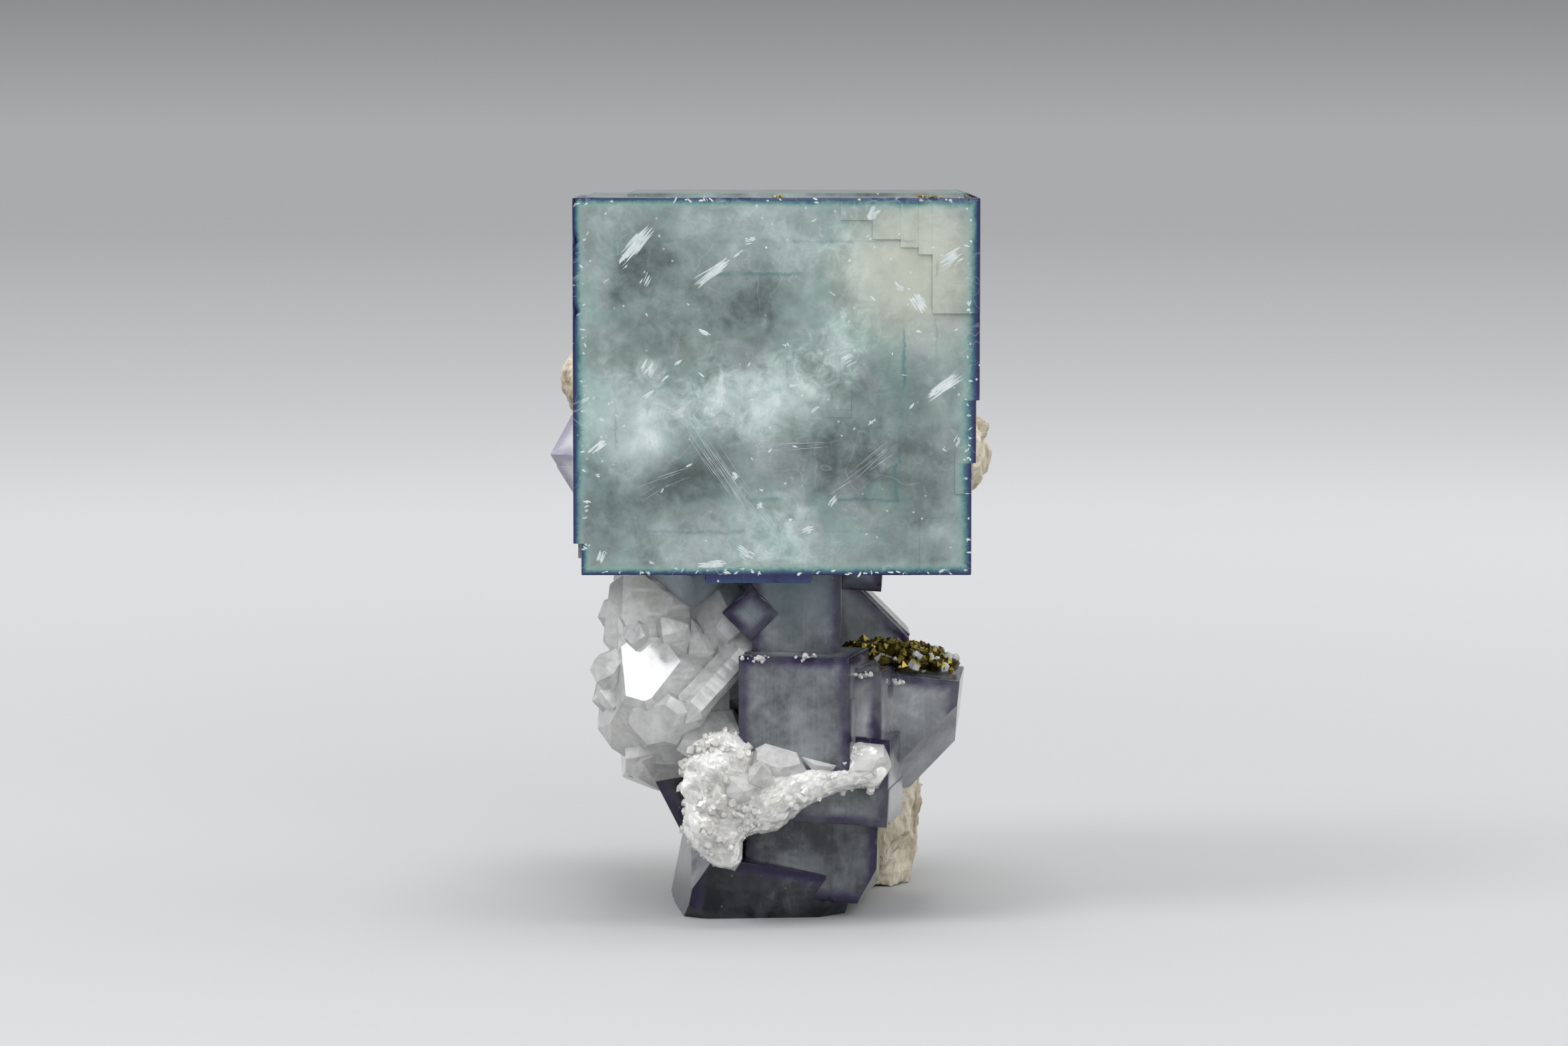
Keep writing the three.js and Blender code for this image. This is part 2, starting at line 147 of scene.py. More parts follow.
# Stubby points between them that show their ends
QUARTZ_STUBS = (
    ((-9.5, -8, 24), (-10.8, -13.4, 31), 1.5, 1.2, 12, 0.9),
    ((-12.5, -8, 25), (-14.8, -12.6, 30.2), 1.5, 1.2, 33, -0.8),
    ((-14.5, -7, 22), (-17.9, -11.5, 26.6), 1.9, 1.2, 5, 0.6),
    ((-14, -7, 20), (-17.6, -11, 23.4), 1.8, 1.2, 41, 0.5),
    ((-4, -8, 26), (-5.2, -12.6, 27.2), 1.7, 1.2, 17, 0.5),
    ((-14.6, -5, 28), (-17, -9.2, 32.4), 1.9, 1.4, 27, 0.5),
)
# Massive quartz: centre, radii, number of flat faces and seed, with the named flat faces of the first
QUARTZ_LUMPS = (
    ((-11.6, -8.6, 22.2), (6.8, 9, 6.6), 14, 1),
    ((-12, -6.4, 16), (4.6, 5, 3.6), 22, 2),
    ((-6, -11.5, 17.6), (4.2, 5, 3.6), 20, 3),
    ((-10.7, -10.4, 20.8), (4.6, 6.4, 3.7), 22, 7),
    ((-12.6, -6.6, 30.4), (5.2, 5.6, 6.4), 18, 9),
    ((-5.6, -8.4, 30.4), (3.4, 4.2, 4.8), 18, 11),
    ((0.2, -16.8, 16.4), (3.7, 2.6, 2.5), 24, 13),
    ((5.2, -17.2, 16.4), (3.2, 2.2, 1.9), 22, 14),
    ((9, -16.8, 16.2), (2.6, 2.8, 2.3), 16, 5),
)
QUARTZ_FACES = (
    ((-12.4, -14.2, 25.6), (-0.35, -0.8, 0.49)),
    ((-8.6, -13.4, 24), (0.52, -0.82, -0.2)),
    ((-11.3, -15.2, 22.4), (0.1, -0.86, -0.5)),
    ((-14.4, -13.4, 21), (-0.5, -0.66, -0.56)),
    ((-16.4, -11, 23.6), (-0.94, -0.32, 0.1)),
)
# The tooth and the arm: points along each, and the half width and half thickness there
TOOTH = (
    ((-5.2, -14.6, 19.4), 0.0, 0.0),
    ((-5.2, -15.4, 18.4), 2.7, 2.6),
    ((-5.4, -16.0, 15.8), 3.9, 3.7),
    ((-5.9, -16.4, 12.4), 3.7, 4.0),
    ((-5.9, -16.6, 10.0), 3.2, 3.7),
    ((-5.3, -16.8, 8.0), 2.3, 3.0),
    ((-4.5, -17.0, 6.4), 1.3, 1.8),
    ((-4.2, -17.0, 5.5), 0.0, 0.0),
)
ARM = (
    ((-7.0, -15.4, 11.6), 0.0, 0.0),
    ((-6.0, -15.6, 11.8), 2.8, 3.0),
    ((-2.6, -16.1, 12.5), 3.6, 3.8),
    ((0.4, -16.4, 13.5), 2.9, 3.6),
    ((3.0, -16.5, 14.5), 2.0, 3.2),
    ((5.8, -16.5, 15.3), 1.7, 3.0),
    ((8.6, -16.4, 16.2), 2.3, 3.0),
    ((10.6, -16.2, 15.8), 1.8, 2.4),
    ((11.3, -16.0, 15.3), 0.0, 0.0),
)

# Cleavage flakes on the large cube's front face: X, Z, length, width, lean in degrees from level, and slivers
FLAKES = (
    (-14.1, 68.8, 5.0, 1.3, 49, 34),
    (-6.4, 66.1, 4.6, 1.0, 39, 26),
    (-3.7, 68.0, 1.4, 0.3, 40, 5),
    (-7.2, 60.2, 1.5, 0.6, -20, 16),
    (-12.7, 56.5, 1.7, 1.5, 60, 16),
    (14.3, 63.1, 2.2, 1.4, -55, 24),
    (12.3, 64.8, 1.4, 0.8, -40, 8),
    (17.5, 67.5, 2.6, 1.6, 30, 16),
    (16.6, 54.7, 4.4, 1.1, 35, 30),
    (-19.2, 53.2, 1.4, 0.5, 40, 6),
    (-17.9, 48.6, 2.4, 0.9, 42, 14),
    (-12.8, 53.9, 1.5, 0.25, 41, 6),
    (-11.2, 55.4, 1.2, 0.25, 44, 5),
    (-9.8, 57.1, 1.0, 0.3, 48, 6),
    (-6.5, 36.9, 3.0, 0.8, 4, 22),
    (1.8, 54.8, 1.1, 0.6, 10, 10),
    (3.9, 52.4, 1.0, 0.6, 30, 8),
    (9.6, 51.2, 1.3, 0.3, 48, 6),
    (5.6, 43.2, 1.6, 0.5, 55, 8),
    (-1.6, 42.7, 0.8, 0.6, 0, 10),
    (-4.2, 45.8, 1.0, 0.5, -50, 8),
    (3.1, 40.4, 1.4, 1.0, 20, 9),
    (-3.2, 38.0, 2.2, 1.0, -30, 9),
    (-17.6, 37.6, 1.3, 1.2, 70, 12),
    (18.2, 49.2, 1.2, 0.8, 60, 8),
    (-13.2, 65.5, 1.6, 1.3, 65, 8),
    (-2.6, 69.4, 1.2, 1.0, 10, 9),
    (9.6, 72.0, 1.7, 1.5, 60, 20),
    (7.0, 57.6, 1.6, 1.8, 30, 14),
)
# Long hairline veils in the same face: X, Z, length, width, lean, and slivers
VEILS = (
    (-5.6, 46.6, 14.0, 2.4, -56, 30),
    (-14.8, 51.4, 11.0, 0.5, 41, 10),
    (-1.0, 41.0, 8.0, 1.6, -50, 10),
    (8.4, 46.0, 9.0, 3.0, 38, 8),
    (-11.0, 45.0, 7.0, 2.4, 24, 8),
    (2.0, 48.6, 9.0, 1.4, 3, 6),
)

# Cloud patches just inside the large cube's front face, from its middle: X, Z, reach, gain, which is above 0
# for a milky wisp and below 0 for a clear dark window, and stretch of X. The first, in the middle, is a milky
# wisp and also a painted glow of the light that comes through the cube from behind
CLOUDS_AND_GLOW = (
    (-1.0, -1.2, 3.9, 0.28, 0.55),
    (6.0, 4.1, 1.7, 0.26, 0.85),
    (-15, -3.5, 5.5, 0.2, 0.9),
    (-6.0, -15, 4.5, 0.18, 0.7),
    (2.0, -15.5, 3.0, 0.12, 0.9),
    (-2.0, 14.5, 4.0, 0.1, 0.5),
    (12.5, 12.5, 6.0, 0.16, 1.0),
    (-13.5, 12.5, 4.4, -0.12, 1.2),
    (-9.0, -10.0, 4.2, -0.18, 1.1),
    (-3.0, 9.0, 3.4, -0.1, 0.7),
    (5.0, -6.0, 4.0, -0.12, 0.8),
    (13.0, -9.0, 5.0, -0.06, 1.2),
)
CLOUD_DEPTH = 18.0

# Groups of brassy grains along the large cube's upper edge, in X and Y, and of crumbs on the small cubes
EDGE_GROUPS = np.array(((-0.4, -18.6), (0.3, -18.4), (15.2, -18.6), (16, -18.2), (19.2, -18.5), (14.6, -18)))
EDGE_GRAINS = 5
EDGE_HEIGHT = 73.62
CRUMB_GROUPS = np.array(((8.6, -16.2, 25.4), (-1.4, -17.4, 27.2), (3, -18.2, 27.3), (11.8, -12, 24.2)))
CRUMBS = 14

FLUORITE_IOR = 1.434
QUARTZ_IOR = 1.544

# Softboxes: name, place and size in metres, power in watts, and colour
SOFTBOXES = (
    ("top_softbox", (0.05, 0.0, 0.8), 0.32, 2.6, "#ffffff"),
    ("front_softbox", (0.35, -1.1, 0.6), 0.8, 5.9, "#fbfdff"),
    ("left_softbox", (-0.47, -0.29, 0.6), 0.3, 2.7, "#fbfdff"),
    ("right_softbox", (0.7, 0.1, 0.4), 0.9, 1.6, "#fffdf9"),
)
# The camera's place, the point it looks at, and its lens, with a sensor 36 mm wide
CAMERA_PLACE = np.array((0, -519, 80.3))
CAMERA_AIM = np.array((0.77, -19, 41))
CAMERA_LENS = 114.8
CAMERA_SENSOR = 36


def linear(hexa):
    """An sRGB hex colour as linear red, green, blue and alpha."""
    parts = [int(hexa[i : i + 2], 16) / 255 for i in (1, 3, 5)]
    return tuple(p / 12.92 if p <= 0.04045 else ((p + 0.055) / 1.055) ** 2.4 for p in parts) + (1.0,)


def node(tree, kind, inputs=None, stops=(), **settings):
    """Adds a node with its settings, its ramp's stops, and a value or a link in each named input."""
    made = tree.nodes.new(kind)
    for name, value in settings.items():
        setattr(made, name, value)
    for i, (place, colour) in enumerate(stops):
        ramp = made.color_ramp.elements
        stop = ramp[i] if i < 2 else ramp.new(place)
        stop.position = place
        stop.color = linear(colour)
    for key, value in (inputs or {}).items():
        if isinstance(value, bpy.types.NodeSocket):
            tree.links.new(value, made.inputs[key])
        else:
            made.inputs[key].default_value = value
    return made


def blank_material(name):
    """A new material, its node tree, its shader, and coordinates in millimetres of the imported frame."""
    material = bpy.data.materials.new(name)
    material.use_nodes = True
    tree = material.node_tree
    shader = tree.nodes["Principled BSDF"]
    coordinate = node(tree, "ShaderNodeTexCoord").outputs["Object"]
    scale = (1 / MM,) * 3
    place = node(tree, "ShaderNodeMapping", {"Vector": coordinate, "Scale": scale}).outputs[0]
    return material, tree, shader, place


def value_noise(points, cell, seed):
    """Noise from -1 to 1: random heights on a lattice of that cell, joined by a smooth cubic on each axis."""
    place = points / cell
    corner = np.floor(place).astype(np.int64)
    part = place - corner
    part = part * part * (3 - 2 * part)
    total = np.zeros(points.shape[:-1])
    for step in np.ndindex(2, 2, 2):
        key = (corner + step) @ np.array((374761393, 668265263, 1442695041)) + seed * 1274126177
        key = (key ^ (key >> 13)) * 1103515245
        key ^= key >> 16
        weight = np.prod(np.where(np.array(step) == 1, part, 1 - part), axis=-1)
        total += weight * (key & 0xFFFF) / 0xFFFF
    return 2 * total - 1


def fractal(points, cell, octaves, seed):
    """Value noise summed over octaves, each at half the cell and half the height of the one before."""
    return sum(value_noise(points, cell / 2**k, seed + k) / 2**k for k in range(octaves))


def weld(sheets):
    """Joins grids of points along their shared rims and gives points and triangles without empty ones."""
    corners = []
    first = 0
    for sheet in sheets:
        rows, columns = sheet.shape[:2]
        index = first + np.arange(rows * columns).reshape(rows, columns)
        quads = (index[:-1, :-1], index[1:, :-1], index[1:, 1:], index[:-1, 1:])
        a, b, c, d = (side.ravel() for side in quads)
        corners += [np.stack((a, b, c), 1), np.stack((a, c, d), 1)]
        first += rows * columns
    points = np.concatenate([sheet.reshape(-1, 3) for sheet in sheets])
    _, kept, renamed = np.unique(np.round(points, 4), axis=0, return_index=True, return_inverse=True)
    triangles = renamed.reshape(-1)[np.concatenate(corners)]
    a, b, c = triangles.T
    return points[kept], triangles[(a != b) & (b != c) & (c != a)]


def make_piece(name, points, triangles, attributes=None):
    """A mesh object from points in the source's millimetres, triangles, and attributes kept per corner."""
    mesh = bpy.data.meshes.new(name)
    mesh.vertices.add(len(points))
    mesh.vertices.foreach_set("co", ((points + SHIFT) * MM).astype(np.float32).ravel())
    mesh.loops.add(triangles.size)
    mesh.loops.foreach_set("vertex_index", triangles.astype(np.int32).ravel())
    mesh.polygons.add(len(triangles))
    mesh.polygons.foreach_set("loop_start", np.arange(0, triangles.size, 3, dtype=np.int32))
    mesh.update(calc_edges=True)
    mesh.shade_flat()
    for key, values in (attributes or {}).items():
        kind, field = ("FLOAT_VECTOR", "vector") if values.ndim == 2 else ("FLOAT", "value")
        layer = mesh.attributes.new(key, kind, "CORNER")
        layer.data.foreach_set(field, values[triangles.ravel()].astype(np.float32).ravel())
    if mesh.validate():
        raise RuntimeError(f"{name} has faces that Blender had to mend")
    made = bpy.data.objects.new(name, mesh)
    bpy.context.scene.collection.objects.link(made)
    return made


def combine(name, whole, others, operation):
    """The union of one object with others, or what the others leave of it, as a new object."""
    group = bpy.data.collections.new(name)
    for other in others:
        group.objects.link(other)
    knife = whole.modifiers.new("combine", "BOOLEAN")
    knife.operation = operation
    knife.operand_type = "COLLECTION"
    knife.solver = "MANIFOLD"
    knife.collection = group
    graph = bpy.context.evaluated_depsgraph_get()
    mesh = bpy.data.meshes.new_from_object(whole.evaluated_get(graph))
    if not len(mesh.polygons):
        raise RuntimeError(f"nothing is left of {name}")
    for used in [whole, *others]:
        bpy.data.objects.remove(used)
    bpy.data.collections.remove(group)
    mesh.name = name
    made = bpy.data.objects.new(name, mesh)
    bpy.context.scene.collection.objects.link(made)
    return made


def finish_piece(piece, material, nodes=()):
    """Gives a piece its material and slot, rides it on the part, and hides the solids that it stands for."""
    piece.data.materials.clear()
    piece.data.materials.append(material)
    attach(piece, "root")
    if nodes:
        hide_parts(*nodes)


def turning(turn):
    """The rotation about X, then Y, then Z by angles in degrees."""
    x, y, z = np.radians(turn)
    about_x = np.array(((1, 0, 0), (0, math.cos(x), -math.sin(x)), (0, math.sin(x), math.cos(x))))
    about_y = np.array(((math.cos(y), 0, math.sin(y)), (0, 1, 0), (-math.sin(y), 0, math.cos(y))))
    about_z = np.array(((math.cos(z), -math.sin(z), 0), (math.sin(z), math.cos(z), 0), (0, 0, 1)))
    return about_z @ about_y @ about_x


def growth_plates(half, count, thickness, seed):
    """Random low terraces on a crystal: each covers a rectangle of one face from a corner of that face."""
    chance = np.random.default_rng(seed)
    plates = []
    for _ in range(count):
        axis = int(chance.integers(3))
        low, high = -half.copy(), half.copy()
        for other in ((axis + 1) % 3, (axis + 2) % 3):
            span = chance.uniform(0.25, 0.9) * 2 * half[other]
            if chance.random() < 0.5:
                high[other] = low[other] + span
            else:
                low[other] = high[other] - span
        plates.append((axis, int(chance.choice((-1, 1))), low, high, thickness * chance.uniform(0.3, 1)))
    return plates


def crystal(size, centre, turn, pitch, plates, rounding, chip, seed):
    """A cube of six grids in two parameters each. Points on a face rise by the thickest growth plate over
    them, and sink near an edge by (1 - distance / reach) squared, times a rounding plus noise where it is
    chipped. Also gives each point's distance in millimetres from the cube's three pairs of faces."""
    half = np.array(size) / 2
    lines = []
    for axis in range(3):
        even = np.linspace(-half[axis], half[axis], 2 * max(2, round(half[axis] / pitch)) + 1)
        close = half[axis] - np.array((0.1, 0.25, 0.55))
        marks = np.array([p[side][axis] for p in plates if p[0] != axis for side in (2, 3)])
        marks = marks[np.abs(marks) < half[axis] - 0.05]
        every = np.concatenate((even, close, -close, marks - 0.015, marks + 0.015))
        every = np.sort(every)
        lines.append(every[np.concatenate(((True,), np.diff(every) > 0.01))])
        lines[-1][-1] = half[axis]
    sheets = []
    for axis in range(3):
        across, along = (axis + 1) % 3, (axis + 2) % 3
        grid = np.empty((len(lines[across]), len(lines[along]), 3))
        grid[..., across], grid[..., along] = np.meshgrid(lines[across], lines[along], indexing="ij")
        for side in (-1, 1):
            grid[..., axis] = side * half[axis]
            sheets.append(grid.copy() if side > 0 else grid.transpose(1, 0, 2).copy())
    points, triangles = weld(sheets)
    rise = np.zeros_like(points)
    for axis, side, low, high, thickness in plates:
        others = [other for other in range(3) if other != axis]
        inside = (points[:, others] >= np.array(low)[others]) & (points[:, others] <= np.array(high)[others])
        under = inside.all(1) & (points[:, axis] * side > 0)
        rise[under, axis] = np.maximum(rise[under, axis], thickness)
    on_face = np.abs(points) > half - 1e-3
    raised = points + np.sign(points) * on_face * rise
    distance = half + rise - np.abs(raised)
    nearest = np.median(distance, axis=1)
    worn = np.maximum(0, fractal(points, 1.7, 3, seed) - 0.45) * chip
    sink = (rounding + worn) * np.clip(1 - nearest / 0.55, 0, 1) ** 2
    placed = raised - np.sign(points) * on_face * sink[:, None]
    return placed @ turning(turn).T + np.array(centre), triangles, distance


def plate_rise(flat):
    """How far the growth plates raise the large cube's front face at points given in X and Z."""
    rise = np.zeros(flat.shape[:-1])
    for axis, side, low, high, thickness in CUBE_PLATES:
        if axis == 1 and side < 0:
            inside = (flat >= (low[0], low[2])) & (flat <= (high[0], high[2]))
            rise = np.maximum(rise, thickness * inside.all(-1))
    return rise


def cutting_block(low, high):
    """A plain block between two corners, for cutting."""
    low, high = np.array(low, float), np.array(high, float)
    points, triangles, distance = crystal(high - low, (low + high) / 2, (0, 0, 0), 100, (), 0, 0, 0)
    return make_piece("cutting_block", points, triangles, {"edge": np.full_like(distance, 9.0)})


def beyond_face(point, normal, smoke_and_shade=0.0):
    """A block that fills everything beyond a flat face, for cutting."""
    reach = 40.0
    way = np.array(normal) / np.linalg.norm(normal)
    side = np.cross(way, (0.3, 0.2, 0.9))
    side /= np.linalg.norm(side)
    axes = np.stack((side, np.cross(way, side), way), 1)
    points, triangles, distance = crystal((reach,) * 3, (0, 0, reach / 2), (0, 0, 0), 100, (), 0, 0, 0)
    points = points @ axes.T + np.array(point)
    # the cut face's darkness for the fluorite material: partly smoky colour, and on the foot's upper left
    # face painted light
    stored = {"edge": np.full_like(distance, 9.0), "smoke_and_shade": np.full(len(points), smoke_and_shade)}
    return make_piece("beyond_face", points, triangles, stored)


def large_cube_space():
    """Blocks that stand for the large cube, for cutting what grew against it."""
    low, high = (-20.0, CUBE_FRONT - 20, CUBE_BOTTOM - 0.1), (20.0, CUBE_BACK + 0.6, CUBE_TOP + 1)
    return [cutting_block(low, high), cutting_block((-7.2, -20, 34.8), (3.6, 2.1, 40))]


def quartz_point(base, tip, radius, pyramid, spin, lean, seed):
    """A six-sided profile carried along its axis: its radius steps in and out by fine growth lines,
    and shrinks to an apex that leans to one side."""
    chance = np.random.default_rng(seed)
    base, tip = np.array(base, float), np.array(tip, float)
    length = np.linalg.norm(tip - base)
    shoulder = length - pyramid
    rings = max(4, int(shoulder / 0.35))
    height = np.repeat(np.linspace(0, shoulder, rings), 2)[1:-1]
    height = np.concatenate(((0.0,), height, (shoulder, length)))
    girth = radius * (1 - 0.03 * np.repeat(chance.random(rings), 2)[: len(height) - 1])
    girth = np.concatenate((girth, (0.0,)))
    girth[0] = 0
    angle = np.radians(spin) + np.linspace(0, 2 * np.pi, 7)
    uneven = 1 + 0.18 * chance.uniform(-1, 1, 6)
    uneven = np.append(uneven, uneven[0])
    bend = lean * np.maximum(0, height - shoulder)
    sheet = np.empty((len(height), 7, 3))
    sheet[..., 0] = girth[:, None] * uneven * np.cos(angle) + bend[:, None]
    sheet[..., 1] = girth[:, None] * uneven * np.sin(angle)
    sheet[..., 2] = height[:, None]
    axis = (tip - base) / length
    side = np.cross(axis, (0.31, 0.87, 0.38))
    side /= np.linalg.norm(side)
    sheet = sheet @ np.stack((side, np.cross(axis, side), axis)) + base
    return weld([sheet.transpose(1, 0, 2)])


def faceted_mass(centre, radii, faces, seed):
    """A block cut by flat faces that a spiral spreads evenly round it, each touching one ellipsoid."""
    chance = np.random.default_rng(seed)
    centre, radii = np.array(centre, float), np.array(radii, float)
    height = 1 - (2 * np.arange(faces) + 1) / faces
    girth = np.sqrt(1 - height**2)
    spiral = np.arange(faces) * np.pi * (3 - math.sqrt(5)) + seed
    ways = np.stack((girth * np.cos(spiral), girth * np.sin(spiral), height), -1)
    ways += chance.normal(0, 0.12, ways.shape)
    touches = centre + radii * ways * chance.uniform(0.82, 0.95, (faces, 1))
    block = cutting_block(centre - radii, centre + radii)
    cuts = [beyond_face(*face) for face in zip(touches, ways / radii)]
    return combine("quartz_mass", block, cuts, "DIFFERENCE")


def limb(stations, seed):
    """An oval profile carried along a bent path, with its width and thickness from each station,
    roughened outwards by noise."""
    steps = np.linspace(0, len(stations) - 1, 121)
    known = np.arange(len(stations))
    table = np.array([(*point, width, thick) for point, width, thick in stations])
    path = np.stack([np.interp(steps, known, column) for column in table.T], -1)
    for _ in range(12):
        path[1:-1] = (path[:-2] + 2 * path[1:-1] + path[2:]) / 4
    centre, width, thick = path[:, :3], path[:, 3], path[:, 4]
    along = np.gradient(centre, axis=0)
    along /= np.linalg.norm(along, axis=1, keepdims=True)
    side = np.cross(along, (0.0, -1.0, 0.0))
    side /= np.linalg.norm(side, axis=1, keepdims=True)
    out = np.cross(side, along)
    angle = np.linspace(0, 2 * np.pi, 97)
    arm = np.cos(angle)[None, :, None] * (side * width[:, None])[:, None]
    arm = arm + np.sin(angle)[None, :, None] * (out * thick[:, None])[:, None]
    rough = 0.16 * fractal(centre[:, None] + arm, 2.0, 4, seed)
    sheet = centre[:, None] + arm * (1 + rough[..., None])
    sheet[:, -1] = sheet[:, 0]
    sheet[0] = centre[0]
    sheet[-1] = centre[-1]
    return weld([sheet.transpose(1, 0, 2)])


def random_turns(count, chance):
    """Evenly spread random rotations, from random quaternions."""
    w, x, y, z = chance.normal(size=(4, count))
    size = np.sqrt(w * w + x * x + y * y + z * z)
    w, x, y, z = w / size, x / size, y / size, z / size
    rows = (
        (1 - 2 * (y * y + z * z), 2 * (x * y - w * z), 2 * (x * z + w * y)),
        (2 * (x * y + w * z), 1 - 2 * (x * x + z * z), 2 * (y * z - w * x)),
        (2 * (x * z - w * y), 2 * (y * z + w * x), 1 - 2 * (x * x + y * y)),
    )
    return np.moveaxis(np.array(rows), 2, 0)


def repeat_shape(shape, triangles, turns, sizes, centres):
    """Copies of one small shape, each scaled along the shape's axes, turned and moved to its centre."""
    points = np.einsum("nij,npj->npi", turns, shape[None] * sizes[:, None]) + centres[:, None]
    index = triangles[None] + len(shape) * np.arange(len(centres))[:, None, None]
    return points.reshape(-1, 3), index.reshape(-1, 3)


def surface_spots(mesh_points, triangles, count, chance):
    """Random points on a surface, spread by area, with the outward normal at each."""
    a, b, c = (mesh_points[triangles[:, i]] for i in range(3))
    normal = np.cross(b - a, c - a)
    area = np.linalg.norm(normal, axis=1)
    pick = chance.choice(len(triangles), count, p=area / area.sum())
    u, v = chance.random((2, count))
    flip = u + v > 1
    u, v = np.where(flip, 1 - u, u), np.where(flip, 1 - v, v)
    spots = a[pick] + u[:, None] * (b - a)[pick] + v[:, None] * (c - a)[pick]
    return spots, normal[pick] / np.maximum(area[pick], 1e-12)[:, None]


def turns_towards(ways, chance):
    """Rotations that take +Z to each given way, with a random spin about it."""
    ways = ways / np.linalg.norm(ways, axis=1, keepdims=True)
    other = chance.normal(size=ways.shape)
    side = np.cross(ways, other)
    side /= np.linalg.norm(side, axis=1, keepdims=True)
    return np.stack((side, np.cross(ways, side), ways), 2)


def gather(parts):
    """Several sets of points and triangles as one."""
    points, triangles, first = [], [], 0
    for part_points, part_triangles in parts:
        points.append(part_points)
        triangles.append(part_triangles + first)
        first += len(part_points)
    return np.concatenate(points), np.concatenate(triangles)


def node_surface(name):
    """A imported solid's points in the source's millimetres, merged, and its triangles."""
    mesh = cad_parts[name].data
    points = np.empty(len(mesh.vertices) * 3, np.float32)
    mesh.vertices.foreach_get("co", points)
    mesh.calc_loop_triangles()
    triangles = np.empty(len(mesh.loop_triangles) * 3, np.int32)
    mesh.loop_triangles.foreach_get("vertices", triangles)
    points = points.reshape(-1, 3) / MM - SHIFT
    _, kept, renamed = np.unique(np.round(points, 3), axis=0, return_index=True, return_inverse=True)
    triangles = renamed.reshape(-1)[triangles].reshape(-1, 3)
    a, b, c = triangles.T
    return points[kept], triangles[(a != b) & (b != c) & (c != a)]


# An octahedron, and a short six-sided point on its own base
GRAIN = np.array(((1, 0, 0), (-1, 0, 0), (0, 1, 0), (0, -1, 0), (0, 0, 1), (0, 0, -1)), float)
GRAIN_FACES = np.array(
    ((0, 2, 4), (2, 1, 4), (1, 3, 4), (3, 0, 4), (2, 0, 5), (1, 2, 5), (3, 1, 5), (0, 3, 5))
)
SPIKE_ANGLE = np.arange(6) * np.pi / 3
SPIKE_RING = np.stack((np.cos(SPIKE_ANGLE), np.sin(SPIKE_ANGLE), np.zeros(6)), 1)
SPIKE = np.concatenate((SPIKE_RING - (0, 0, 0.5), SPIKE_RING + (0, 0, 0.9), ((0.15, 0.1, 1.9), (0, 0, -0.5))))
SPIKE_NEXT = (np.arange(6) + 1) % 6
SPIKE_FACES = np.concatenate(
    (
        np.stack((np.arange(6), SPIKE_NEXT, SPIKE_NEXT + 6), 1),
        np.stack((np.arange(6), SPIKE_NEXT + 6, np.arange(6) + 6), 1),
        np.stack((np.arange(6) + 6, SPIKE_NEXT + 6, np.full(6, 12)), 1),
        np.stack((SPIKE_NEXT, np.arange(6), np.full(6, 13)), 1),
    )
)


def edge_depth(tree):
    """Millimetres from the nearest crystal edge on a face: the middle one of the three stored distances."""
    stored = node(tree, "ShaderNodeAttribute", attribute_name="edge").outputs["Vector"]
    parts = node(tree, "ShaderNodeSeparateXYZ", {0: stored}).outputs
    lower = node(tree, "ShaderNodeMath", {0: parts[0], 1: parts[1]}, operation="MINIMUM").outputs[0]
    upper = node(tree, "ShaderNodeMath", {0: parts[0], 1: parts[1]}, operation="MAXIMUM").outputs[0]
    inner = node(tree, "ShaderNodeMath", {0: upper, 1: parts[2]}, operation="MINIMUM").outputs[0]
    return node(tree, "ShaderNodeMath", {0: lower, 1: inner}, operation="MAXIMUM").outputs[0]


def marks(tree, colour, place, cracks, pitch, patches, pale):
    """Lays hairline cracks, which are ridges of noise where the crystal is strained, and tiny bright
    inclusions over a colour. Each crack has its size in millimetres and a pattern for where it shows."""
    for size, where in cracks:
        inputs = {"Vector": place, "Scale": 1 / size, "Detail": 2, "Roughness": 0.4}
        field = node(tree, "ShaderNodeTexNoise", inputs).outputs["Fac"]
        off = node(tree, "ShaderNodeMath", {0: field, 1: 0.5}, operation="SUBTRACT").outputs[0]
        off = node(tree, "ShaderNodeMath", {0: off}, operation="ABSOLUTE").outputs[0]
        inputs = {"Value": off, "From Min": 0.008, "From Max": 0.0, "To Max": 0.16}
        crack = node(tree, "ShaderNodeMapRange", inputs, interpolation_type="SMOOTHSTEP").outputs[0]
        inputs = {"Value": where, "From Min": 0.48, "From Max": 0.62}
        strained = node(tree, "ShaderNodeMapRange", inputs, interpolation_type="SMOOTHSTEP").outputs[0]
        crack = node(tree, "ShaderNodeMath", {0: crack, 1: strained}, operation="MULTIPLY").outputs[0]
        inputs = {0: crack, 6: colour, 7: linear(pale)}
        colour = node(tree, "ShaderNodeMix", inputs, data_type="RGBA").outputs[2]
    gap = node(tree, "ShaderNodeTexVoronoi", {"Vector": place, "Scale": 1 / pitch}).outputs["Distance"]
    inputs = {"Value": gap, "From Min": 0.12, "From Max": 0.04, "To Max": 0.9}
    speck = node(tree, "ShaderNodeMapRange", inputs, interpolation_type="SMOOTHSTEP").outputs[0]
    inputs = {"Value": patches, "From Min": 0.47, "From Max": 0.6}
    kept = node(tree, "ShaderNodeMapRange", inputs, interpolation_type="SMOOTHSTEP").outputs[0]
    speck = node(tree, "ShaderNodeMath", {0: speck, 1: kept}, operation="MULTIPLY").outputs[0]
    return node(tree, "ShaderNodeMix", {0: speck, 6: colour, 7: linear(pale)}, data_type="RGBA").outputs[2]


